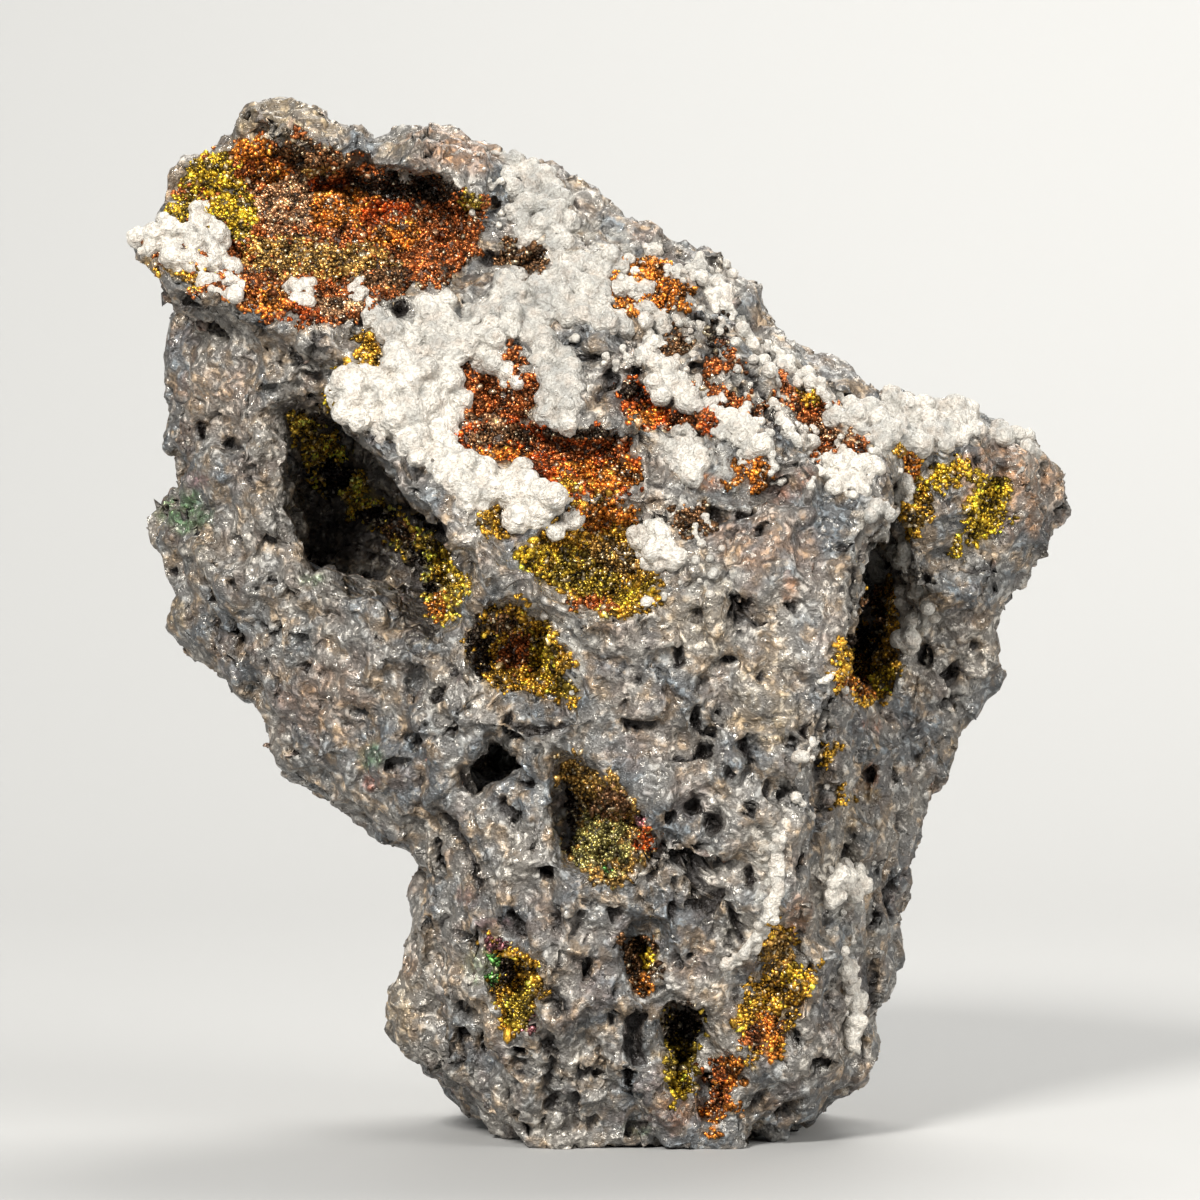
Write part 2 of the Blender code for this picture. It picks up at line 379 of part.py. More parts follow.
WHITE_CRUSTS = {
    "white_crust_left_tip": (1.5, [
        (-39.2, 78.2), (-37.5, 78.8), (-35.2, 79.8), (-34.4, 78.4), (-33, 77), (-31.8, 75), (-31.4, 74),
        (-33.5, 73.9), (-35, 75.4), (-37.2, 76.4), (-38.8, 77),
    ]),
    "white_crust_rosette": (1.3, [(-27.2, 72.6), (-26.8, 73.8), (-25.6, 73.8), (-25.2, 72.8), (-26.2, 72.2)]),
    "white_crust_middle": (1.8, [
        (-22, 64), (-20.6, 65.9), (-18, 68.2), (-19, 70.8), (-15, 71.2), (-11.5, 69.6), (-14.3, 67),
        (-14.8, 63), (-14, 60), (-13, 57.8), (-7, 57.4), (-5, 55.5), (-4.5, 54.6), (-8.5, 55.4),
        (-12, 54.9), (-15, 57.6), (-19.3, 60.6),
    ]),
    "white_crust_upper": (1.7, [
        (-8.9, 72), (-8.2, 74), (-3.6, 74.4), (-3.6, 78), (-8.2, 78.8), (-8, 82.6), (-5.6, 82.8),
        (-2.6, 79), (-0.8, 76), (-1, 73), (2, 69.8), (-2.6, 71.6), (-3.4, 67), (-4.2, 69),
    ]),
    "white_crust_right_of_middle": (1.5, [
        (5.6, 64.2), (7.5, 64.7), (9.2, 63.8), (9, 60.8), (8.2, 58.8), (6, 58.8), (6.4, 61.6),
    ]),
    "white_crust_bands": (1.3, [
        (8.2, 73.6), (7.4, 76), (9.4, 76.4), (10.7, 74.2), (11.2, 71.4), (9.6, 71.6),
    ]),
    "white_crust_ledge_end": (1.3, [(18.6, 58.6), (21.5, 58.6), (23, 58.2), (22.4, 56.4), (20.6, 55.9)]),
    "white_crust_shoulder": (1.5, [
        (23.6, 63.6), (27, 64), (29.5, 63), (33.6, 61.3), (33, 60.4), (29, 60.4), (25, 60.6),
    ]),
    "white_crust_hollow_side": (1.3, [(3.2, 53), (4.6, 53.6), (5.9, 52), (5.9, 50), (4.8, 49.8), (4, 51.2)]),
    "white_crust_right_vein": (1.2, [
        (19.9, 16.8), (21.2, 16.8), (21.7, 15), (22, 12.5), (22.1, 9), (20.8, 8.4), (20.3, 10.5), (20.3, 13),
    ]),
    "white_crust_lower_vein": (1.15, [
        (13.6, 23), (15.3, 23), (15.4, 20.4), (14.4, 17.9), (12, 15.2), (10.8, 16.2), (12.5, 18.4),
        (13.7, 20.4),
    ]),
}

# Colours, roughness and metallic values
STONE_FINISH = ((0.17, 0.155, 0.145, 1), 0.6, 0.15)
CRYSTAL_FINISH = ((0.52, 0.27, 0.04, 1), 0.35, 0.5)
WHITE_FINISH = ((0.80, 0.79, 0.74, 1), 0.45, 0.0)


def remove_start_objects():
    for obj in list(bpy.data.objects):
        bpy.data.objects.remove(obj, do_unlink=True)


def seen(across, up, depth):
    """The point at this depth that appears at (across, up) on the plane through the origin."""
    nearer = 1 + depth * MM / EYE_DISTANCE
    x = EYE_ACROSS + (across * MM - EYE_ACROSS) * nearer
    z = EYE_UP + (up * MM - EYE_UP) * nearer
    return Vector((x, depth * MM, z)) + CENTRE_SHIFT


def add_hull(shape, points):
    """Adds the convex hull of these points to the shape."""
    corners = [shape.verts.new(point) for point in points]
    made = bmesh.ops.convex_hull(shape, input=corners, use_existing_faces=False)
    unused = set(made["geom_interior"] + made["geom_unused"])
    spare = [item for item in unused if isinstance(item, bmesh.types.BMVert)]
    bmesh.ops.delete(shape, geom=spare, context="VERTS")


def add_ball(shape, centre, radius):
    bmesh.ops.create_icosphere(shape, subdivisions=2, radius=radius, matrix=Matrix.Translation(centre))


def add_ridge(shape, thickness, run):
    """Adds a rounded bar along a run of points, one hull between each two of them."""
    ends = [seen(*point) for point in run]
    corner = thickness * MM
    offsets = [Vector(spot) * corner for spot in
               ((1, 0, 0), (-1, 0, 0), (0, 1, 0), (0, -1, 0), (0, 0, 1), (0, 0, -1))]
    for start, end in zip(ends, ends[1:]):
        add_hull(shape, [end_point + offset for end_point in (start, end) for offset in offsets])


def add_hollow(shape, rim, floor, narrowing, towards, outline):
    """Adds the plug of a hollow: its outline outside the rim, at the rim, and ever narrower to the floor."""
    outside = rim - PLUG_REACH if floor > rim else rim + PLUG_REACH
    points = [seen(across, up, outside) for across, up in outline]
    for share, closing in PLUG_RINGS:
        pull = narrowing * closing
        depth = rim + (floor - rim) * share
        for across, up in outline:
            points.append(seen(across + (towards[0] - across) * pull, up + (towards[1] - up) * pull, depth))
    add_hull(shape, points)


def as_object(name, shape):
    mesh = bpy.data.meshes.new(name)
    shape.to_mesh(mesh)
    shape.free()
    obj = bpy.data.objects.new(name, mesh)
    bpy.context.scene.collection.objects.link(obj)
    return obj


def with_modifiers_applied(obj):
    depsgraph = bpy.context.evaluated_depsgraph_get()
    mesh = bpy.data.meshes.new_from_object(obj.evaluated_get(depsgraph), depsgraph=depsgraph)
    obj.modifiers.clear()
    obj.data = mesh
    return obj


def remeshed(obj, voxel):
    """Fuses everything in the object into one skin of even small faces."""
    remesh = obj.modifiers.new("Fuse", "REMESH")
    remesh.mode = "VOXEL"
    remesh.voxel_size = voxel
    return with_modifiers_applied(obj)


def cut(obj, cutter):
    difference = obj.modifiers.new("Cut", "BOOLEAN")
    difference.operation = "DIFFERENCE"
    difference.solver = "EXACT"
    difference.object = cutter
    return with_modifiers_applied(obj)


def thinned(obj, triangles):
    """Collapses edges where the surface is flattest until about this many triangles are left."""
    count = sum(len(face.vertices) - 2 for face in obj.data.polygons)
    if count <= triangles:
        return obj
    decimate = obj.modifiers.new("Thin", "DECIMATE")
    decimate.ratio = triangles / count
    return with_modifiers_applied(obj)


def vertex_arrays(obj):
    """The places and the normals of the object's vertices, one row each."""
    count = len(obj.data.vertices)
    places = np.empty(count * 3, dtype=np.float32)
    normals = np.empty(count * 3, dtype=np.float32)
    obj.data.vertices.foreach_get("co", places)
    obj.data.vertices.foreach_get("normal", normals)
    return places.reshape(-1, 3), normals.reshape(-1, 3)


def moved(obj, places):
    obj.data.vertices.foreach_set("co", places.ravel())
    obj.data.update()
    return obj


def roughened(obj):
    """Moves each vertex along its normal by broad lumps and by finer broken ridges."""
    places, normals = vertex_arrays(obj)
    offset = Vector((1.0, 2.3, 3.1)) * SKIN_SEED
    rise = np.empty(len(places))
    for index, place in enumerate(places):
        spot = Vector(place) / (LUMPS_WIDTH * MM) + offset
        ridges = 0.2 - abs(noise.noise(spot * RIDGE_FINENESS))
        rise[index] = noise.fractal(spot, 1.0, 2.1, 3) + RIDGE_SHARE * ridges
    return moved(obj, places + normals * (rise * LUMPS_RISE * MM)[:, None])


def pitted(obj):
    """Presses upright oval pits into the surface at places drawn from a seeded list."""
    draw = random.Random(PIT_SEED)
    places, normals = vertex_arrays(obj)
    upright = np.array((1.0, 1.0, PIT_SHORTENING))
    push = np.zeros(len(places))
    for _ in range(PIT_COUNT):
        centre = places[draw.randrange(len(places))]
        reach = draw.uniform(*PIT_REACH) * MM
        share = np.linalg.norm((places - centre) * upright, axis=1) / reach
        push = np.maximum(push, PIT_DEPTH_SHARE * reach * np.clip(1 - share * share, 0, 1))
    return moved(obj, places - normals * push[:, None])


def stood_flat(obj):
    """Cuts the stone off level where it stands and closes the cut."""
    shape = bmesh.new()
    shape.from_mesh(obj.data)
    everything = shape.verts[:] + shape.edges[:] + shape.faces[:]
    cut_edges = bmesh.ops.bisect_plane(
        shape, geom=everything, dist=NEEDLE_EDGE, plane_co=(0, 0, 0), plane_no=(0, 0, -1), clear_outer=True,
    )["geom_cut"]
    rim = [item for item in cut_edges if isinstance(item, bmesh.types.BMEdge)]
    bmesh.ops.edgeloop_fill(shape, edges=rim)
    shape.to_mesh(obj.data)
    shape.free()
    return obj


def cleaned(obj):
    """Triangulates the mesh, drops needle faces and keeps its largest body only."""
    shape = bmesh.new()
    shape.from_mesh(obj.data)
    bmesh.ops.triangulate(shape, faces=shape.faces[:])
    bmesh.ops.dissolve_degenerate(shape, dist=NEEDLE_EDGE, edges=shape.edges[:])
    bmesh.ops.triangulate(shape, faces=shape.faces[:])
    left = set(shape.verts)
    largest = set()
    while left:
        body = set()
        waiting = [left.pop()]
        while waiting:
            vert = waiting.pop()
            body.add(vert)
            for edge in vert.link_edges:
                other = edge.other_vert(vert)
                if other in left:
                    left.discard(other)
                    waiting.append(other)
        if len(body) > len(largest):
            largest = body
    bmesh.ops.delete(shape, geom=[vert for vert in shape.verts if vert not in largest], context="VERTS")
    bmesh.ops.recalc_face_normals(shape, faces=shape.faces[:])
    shape.to_mesh(obj.data)
    shape.free()
    return obj


def finished(obj, name, finish):
    """Gives the piece its name, its material and soft shading with crisp creases."""
    colour, roughness, metallic = finish
    material = bpy.data.materials.new(name)
    material.use_nodes = True
    surface = material.node_tree.nodes["Principled BSDF"]
    surface.inputs["Base Color"].default_value = colour
    surface.inputs["Roughness"].default_value = roughness
    surface.inputs["Metallic"].default_value = metallic
    obj.data.materials.clear()
    obj.data.materials.append(material)
    obj.data.shade_smooth()
    obj.data.set_sharp_from_angle(angle=math.radians(50))
    obj.name = name
    return obj


def make_stone():
    body = bmesh.new()
    for points in LOBES.values():
        add_hull(body, [seen(*point) for point in points])
    for thickness, run in RIDGES.values():
        add_ridge(body, thickness, run)
    stone = thinned(remeshed(as_object("stone", body), STONE_VOXEL), CUT_TRIANGLES)

    plugs = bmesh.new()
    for rim, floor, narrowing, towards, outline in HOLLOWS.values():
        add_hollow(plugs, rim, floor, narrowing, towards, outline)
    for thickness, run in GROOVES.values():
        add_ridge(plugs, thickness, run)
    add_hull(plugs, [seen(*point) for point in BOWL])
    cutter = thinned(remeshed(as_object("hollows", plugs), HOLLOW_VOXEL), CUT_TRIANGLES)

    stone = cut(stone, cutter)
    bpy.data.objects.remove(cutter, do_unlink=True)
    stone = pitted(roughened(remeshed(stone, STONE_VOXEL)))
    stone = cleaned(stood_flat(thinned(stone, STONE_TRIANGLES)))
    return finished(stone, "stone", STONE_FINISH)


def swollen_copy(stone):
    """A copy of the stone with every face moved out by the gap, to cut what lies on the stone."""
    shape = bmesh.new()
    shape.from_mesh(stone.data)
    shape.normal_update()
    clearance = GAP + 0.5 * CRUST_VOXEL
    moves = [vert.normal * clearance * min(vert.calc_shell_factor(), 2.0) for vert in shape.verts]
    for vert, move in zip(shape.verts, moves):
        vert.co += move
    return as_object("swollen_stone", shape)


def inside(across, up, outline):
    """Whether a point lies inside a closed outline, by counting the sides that pass on its right."""
    crossings = 0
    for (a, b), (c, d) in zip(outline, outline[1:] + outline[:1]):
        if (b > up) != (d > up) and across < a + (up - b) / (d - b) * (c - a):
            crossings += 1
    return crossings % 2 == 1


def spots_within(outline, spacing):
    """Evenly spread points in the outline, row by row, every other row moved by half a step."""
    lowest = min(up for _, up in outline)
    highest = max(up for _, up in outline)
    leftmost = min(across for across, _ in outline)
    rightmost = max(across for across, _ in outline)
    rows = math.ceil((highest - lowest) / (spacing * 0.87)) + 1
    columns = math.ceil((rightmost - leftmost) / spacing) + 2
    spots = []
    for row in range(rows):
        for column in range(columns):
            across = leftmost + (column - 0.5 * (row % 2)) * spacing
            up = lowest + row * spacing * 0.87
            if inside(across, up, outline):
                spots.append((across, up))
    return spots


def make_crust(name, lump, outline, surface, swollen, finish, seed):
    """Lumps side by side on the stone wherever the outline is seen on it, cut clear of the stone."""
    draw = random.Random(seed)
    eye = Vector((EYE_ACROSS, -EYE_DISTANCE, EYE_UP)) + CENTRE_SHIFT
    lumps = bmesh.new()
    spots = spots_within(outline, LUMP_SPACING * lump)
    for across, up in spots:
        target = seen(across, up, 0)
        spot, normal, _, _ = surface.ray_cast(eye, (target - eye).normalized())
        if spot is None:
            continue
        radius = lump * draw.uniform(*LUMP_SPREAD) * MM
        add_ball(lumps, spot + normal * LUMP_LIFT * radius, radius)
    crust = cut(remeshed(as_object(name, lumps), CRUST_VOXEL), swollen)
    crust = thinned(remeshed(crust, CRUST_VOXEL), CRUST_TRIANGLES + TRIANGLES_PER_LUMP * len(spots))
    return finished(cleaned(crust), name, finish)


def main():
    remove_start_objects()
    stone = make_stone()
    swollen = swollen_copy(stone)
    shape = bmesh.new()
    shape.from_mesh(stone.data)
    surface = BVHTree.FromBMesh(shape)
    shape.free()
    for kind, finish in ((CRYSTALS, CRYSTAL_FINISH), (WHITE_CRUSTS, WHITE_FINISH)):
        for number, (name, (lump, outline)) in enumerate(kind.items()):
            make_crust(name, lump, outline, surface, swollen, finish, number + 1)
    bpy.data.objects.remove(swollen, do_unlink=True)


main()
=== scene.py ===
import math
import random

import bpy
import numpy as np
from mathutils import Matrix, Vector, kdtree, noise
from mathutils.bvhtree import BVHTree


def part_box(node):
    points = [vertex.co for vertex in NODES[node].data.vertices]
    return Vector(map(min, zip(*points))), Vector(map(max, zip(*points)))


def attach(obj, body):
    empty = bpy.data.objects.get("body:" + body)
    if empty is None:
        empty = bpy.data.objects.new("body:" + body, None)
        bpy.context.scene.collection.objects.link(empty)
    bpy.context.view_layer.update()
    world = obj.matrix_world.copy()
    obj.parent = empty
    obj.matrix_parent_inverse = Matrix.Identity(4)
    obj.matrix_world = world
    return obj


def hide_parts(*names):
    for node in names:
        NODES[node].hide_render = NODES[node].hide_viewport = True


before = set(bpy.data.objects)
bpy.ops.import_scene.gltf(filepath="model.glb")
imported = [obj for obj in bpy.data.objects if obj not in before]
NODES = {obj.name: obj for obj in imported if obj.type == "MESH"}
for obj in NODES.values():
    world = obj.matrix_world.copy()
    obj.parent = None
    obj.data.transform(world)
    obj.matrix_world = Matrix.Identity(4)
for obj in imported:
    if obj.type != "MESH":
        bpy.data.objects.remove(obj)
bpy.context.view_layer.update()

bl_info = {
    "name": "Turgite Specimen",
    "version": (1, 0, 0),
    "blender": (4, 5, 0),
    "location": "3D View > Sidebar > Specimen",
    "description": "Builds the porous stone, the crystals in its hollows and its white crusts",
    "category": "Add Mesh",
}

MM = 0.001

# The eye that the places on the front are seen from, and the width that it sees at the origin's depth
EYE_DISTANCE = 430.0
EYE_ACROSS = -0.4
EYE_UP = 46.9
CENTRE_SHIFT = np.array((-0.3, 1.9, -1.75))
PICTURE_WIDTH = 102.6
EYE = Vector((EYE_ACROSS + CENTRE_SHIFT[0], -EYE_DISTANCE + CENTRE_SHIFT[1], EYE_UP + CENTRE_SHIFT[2])) * MM

# Colours of the crystals
GOLD = (0.54, 0.30, 0.035)
YELLOW = (0.56, 0.37, 0.03)
OLIVE = (0.36, 0.25, 0.03)
KHAKI = (0.42, 0.25, 0.07)
ORANGE = (0.58, 0.20, 0.03)
RED = (0.44, 0.085, 0.015)
RUST = (0.36, 0.11, 0.03)
BROWN = (0.16, 0.08, 0.035)
PALE_OLIVE = (0.40, 0.35, 0.12)
# Gold brightened as painted light, for the crystals in the left cave's shade
PAINTED_LIGHT_GOLD = (0.85, 0.55, 0.08)
ROSE_TAN = (0.52, 0.29, 0.15)
# Near-black; in the cave and under the upper knob it is painted shade
BLACK = (0.02, 0.014, 0.01)
GREEN = (0.09, 0.24, 0.06)
PINK = (0.30, 0.12, 0.13)
# Dark grey painted as shade in a band under the bowl's rim
RIM_SHADE_GREY = (0.20, 0.19, 0.175)
SAND = (0.44, 0.33, 0.19)

# Where the crystals line the stone, by node: how far they reach from the node's solid in mm, their colour, and the
# outlines that they fill as seen from the front, in mm (across, up)
LININGS = {
    "crystals_upper_left_hollow": (1.2, RUST, [[
        (-37.8, 79), (-36.4, 82), (-35.2, 84.6), (-31.6, 85.6), (-27, 86.4), (-24, 85.6), (-19, 83.6),
        (-14, 82.6), (-10.4, 82), (-10.4, 78), (-12.4, 75), (-17, 73.6), (-20, 71.8), (-23.6, 70.2),
        (-27, 70.8), (-31, 72.6), (-35, 73.4), (-39, 76.2),
    ]]),
    # The cave's crystals get gold brightened as painted light.
    "crystals_left_cave": (0.7, PAINTED_LIGHT_GOLD, [[
        (-27.2, 62.6), (-24.8, 62.8), (-22.8, 60), (-20.6, 57), (-18.2, 54.4), (-14.8, 52), (-12.2, 50.2),
        (-11.4, 48.2), (-12.4, 46.6), (-14.2, 44.6), (-15.4, 47), (-15, 49.6), (-18.2, 52), (-21, 54), (-24.4, 56.8),
        (-26, 60.2),
    ]]),
    "crystals_middle_hollow": (0.8, RED, [[
        (-12.8, 60.6), (-11.8, 59), (-9, 58.5), (-7.2, 58.6), (-5.4, 57.2), (-3.2, 55.6), (0, 55.6),
        (2.6, 56.6), (3, 58.4), (1.2, 60.8), (-3, 61.8), (-5, 62.2), (-8, 62.4), (-12, 61.6),
    ]]),
    "crystals_red_hollow": (0.8, RUST, [[
        (-13.2, 65.6), (-12.4, 67.8), (-10.6, 67), (-9.2, 67), (-8, 69), (-7.2, 68.6), (-7.6, 66.6),
        (-5.6, 66.4), (-5, 65.2), (-6.4, 63.2), (-8, 62.2), (-11.6, 61.8), (-12.2, 63.6),
    ]]),
    "crystals_centre_hollow": (1.0, GOLD, [[
        (-7.2, 51.2), (-4.8, 52.8), (-2.8, 55.2), (0, 55.4), (2.6, 54.6), (2.8, 52), (4.4, 49), (5, 46.6),
        (3, 45.6), (0, 46), (-3, 46.6), (-5.4, 48.4),
    ]]),
    "crystals_three_cornered_hollow": (0.8, GOLD, [[
        (-12, 43), (-10.6, 45.3), (-8.6, 46.6), (-6.6, 46.2), (-4.8, 44.6), (-3.2, 41.8), (-2, 38.8),
        (-2.6, 37.6), (-5.5, 39), (-9.3, 39.6), (-11.2, 40.8),
    ]]),
    "crystals_ledge_hollow": (0.8, RUST, [[
        (14.6, 66), (16.4, 65.8), (19, 63.6), (22.4, 60.2), (22.4, 59), (18, 59), (17.4, 61.6), (14.8, 64.4),
    ]]),
    "crystals_shoulder_column": (0.5, GOLD, [[
        (24.9, 59.6), (27, 59.8), (27, 57.2), (28, 56), (28, 53.6), (26.4, 52.2), (25.4, 54.4), (26.4, 56.4),
    ], [(28, 59), (30.8, 59), (31.4, 58), (29.4, 56.4), (28.2, 56.8)]]),
    "crystals_shoulder_patch": (0.5, YELLOW, [[
        (30.9, 55.2), (31.4, 57.6), (33.6, 57.4), (35, 55.6), (34.9, 54), (33, 52.8), (31.2, 51.6), (31.2, 53.4),
    ], [(29.6, 52), (30.9, 52.2), (30.6, 50.6), (29.7, 50.8)]]),
    "crystals_side_hollow": (1.2, GOLD, [[
        (19.8, 42.8), (22, 44.6), (22.6, 47.8), (25, 48), (25.4, 45.8), (24.4, 43), (26, 40.8), (24, 38.6),
        (21.8, 37.9), (19.6, 39.4),
    ]]),
    "crystals_lower_hollow": (0.8, KHAKI, [[
        (-3.4, 33.6), (-1.8, 33), (0.6, 31.4), (2.8, 30), (3.4, 28), (4.5, 26), (2.8, 24), (1, 22.2),
        (-1.5, 22.7), (-3, 24.6), (-2.6, 28), (-3.6, 31),
    ]]),
    "crystals_lower_pocket": (0.4, BROWN, [[
        (1, 17.6), (4.5, 18), (4.8, 15.5), (3.9, 13), (2.6, 12.9), (2.4, 15),
    ]]),
    "crystals_lower_left_hollow": (0.5, GOLD, [[
        (-10.4, 17.8), (-8, 17.8), (-5.8, 15.8), (-5.7, 13.3), (-6.5, 9.6), (-8.5, 10.3), (-9.8, 14),
    ]]),
    "crystals_lower_right_hollow": (0.6, GOLD, [[
        (13.6, 19.4), (15.4, 19.2), (16.8, 16), (18, 15.6), (17.6, 14.2), (16.4, 12), (15.4, 9), (13, 7),
        (11.8, 9.4), (11.6, 12.3), (13.4, 15.3),
    ]]),
    "crystals_base_hollow": (0.5, OLIVE, [[
        (5.4, 12.4), (8.2, 12), (8.6, 10.6), (7.8, 8), (7.5, 5), (5.4, 3), (5.4, 6), (5, 8),
    ]]),
    "crystals_base_slot": (0.6, ORANGE, [[
        (8.6, 3.8), (9, 7.4), (12.4, 8.2), (11.5, 5), (10.3, 2.6), (9.5, 0.9), (8.8, 1.6),
    ]]),
}

# Smaller lined places with no hollow of their own: (colour, outline)
SMALL_LININGS = [
    (ORANGE, [(0.4, 74.8), (1.4, 75.9), (4.4, 75.9), (6.6, 74.4), (7, 72.2), (5.6, 71.2), (3.4, 71.6), (1.8, 70.8),
              (0.2, 72.4)]),
    (BROWN, [(4.4, 68), (5.6, 70.8), (7.2, 69.6), (7.2, 67.8), (5.4, 67.2)]),
    (RED, [(1, 65.4), (4, 65), (5.2, 63.4), (9.4, 63.2), (10.2, 61.4), (8.6, 60.8), (6, 61.6), (3.4, 61.4), (1.6, 63)]),
    (ORANGE, [(10.6, 57.8), (12, 59.9), (14, 59.4), (14.4, 58), (13, 56.6), (11, 56.6)]),
    (GOLD, [(-21.8, 69.6), (-19.4, 69.4), (-18.6, 67.6), (-19.2, 66.2), (-20.2, 66.8), (-21, 68)]),
    (GOLD, [(-23.9, 64), (-22.8, 67), (-21.8, 67.2), (-22.8, 65.4), (-23.6, 61.8)]),
    (GOLD, [(-11.4, 53.6), (-9.6, 54.8), (-6.6, 53.6), (-8.6, 52.8), (-10.6, 52.6)]),
    (RUST, [(8.4, 67.6), (10.6, 68.4), (11.4, 66.8), (9.4, 66)]),
    (BLACK, [(8.8, 71), (10.2, 71.4), (10.8, 69.4), (9.6, 68.4)]),
    (RUST, [(7.6, 66), (9.6, 65.4), (11.6, 64), (13.6, 63.6), (13.6, 62.2), (11, 63), (9, 64.4), (7.8, 65)]),
    (BROWN, [(-9.8, 76.6), (-7.8, 77.8), (-5, 76.2), (-4.6, 75), (-7.4, 74.8), (-9.4, 75.6)]),
    (BROWN, [(6.6, 55.2), (9, 54.6), (9.4, 52.8), (7, 52.4), (5.8, 53.6)]),
    (GOLD, [(18.6, 33), (19.6, 35), (20.4, 34.6), (19.8, 32.4)]),
    (GOLD, [(19.4, 30.6), (20.4, 31), (20.6, 29.4), (19.6, 29)]),
]

# The deep cave on the left, painted near-black inside as shade
CAVE = [
    (-27.6, 63.8), (-26, 64.4), (-23.4, 62.2), (-22, 59), (-19, 56.4), (-15, 53.6), (-12.4, 50.8), (-11.6, 47.8),
    (-12.8, 46), (-15, 43.4), (-17, 43.4), (-18, 46.8), (-18.6, 49.4), (-21.8, 50.2), (-24.4, 49.8), (-26, 52),
    (-25.2, 55.4), (-26.6, 59.6),
]

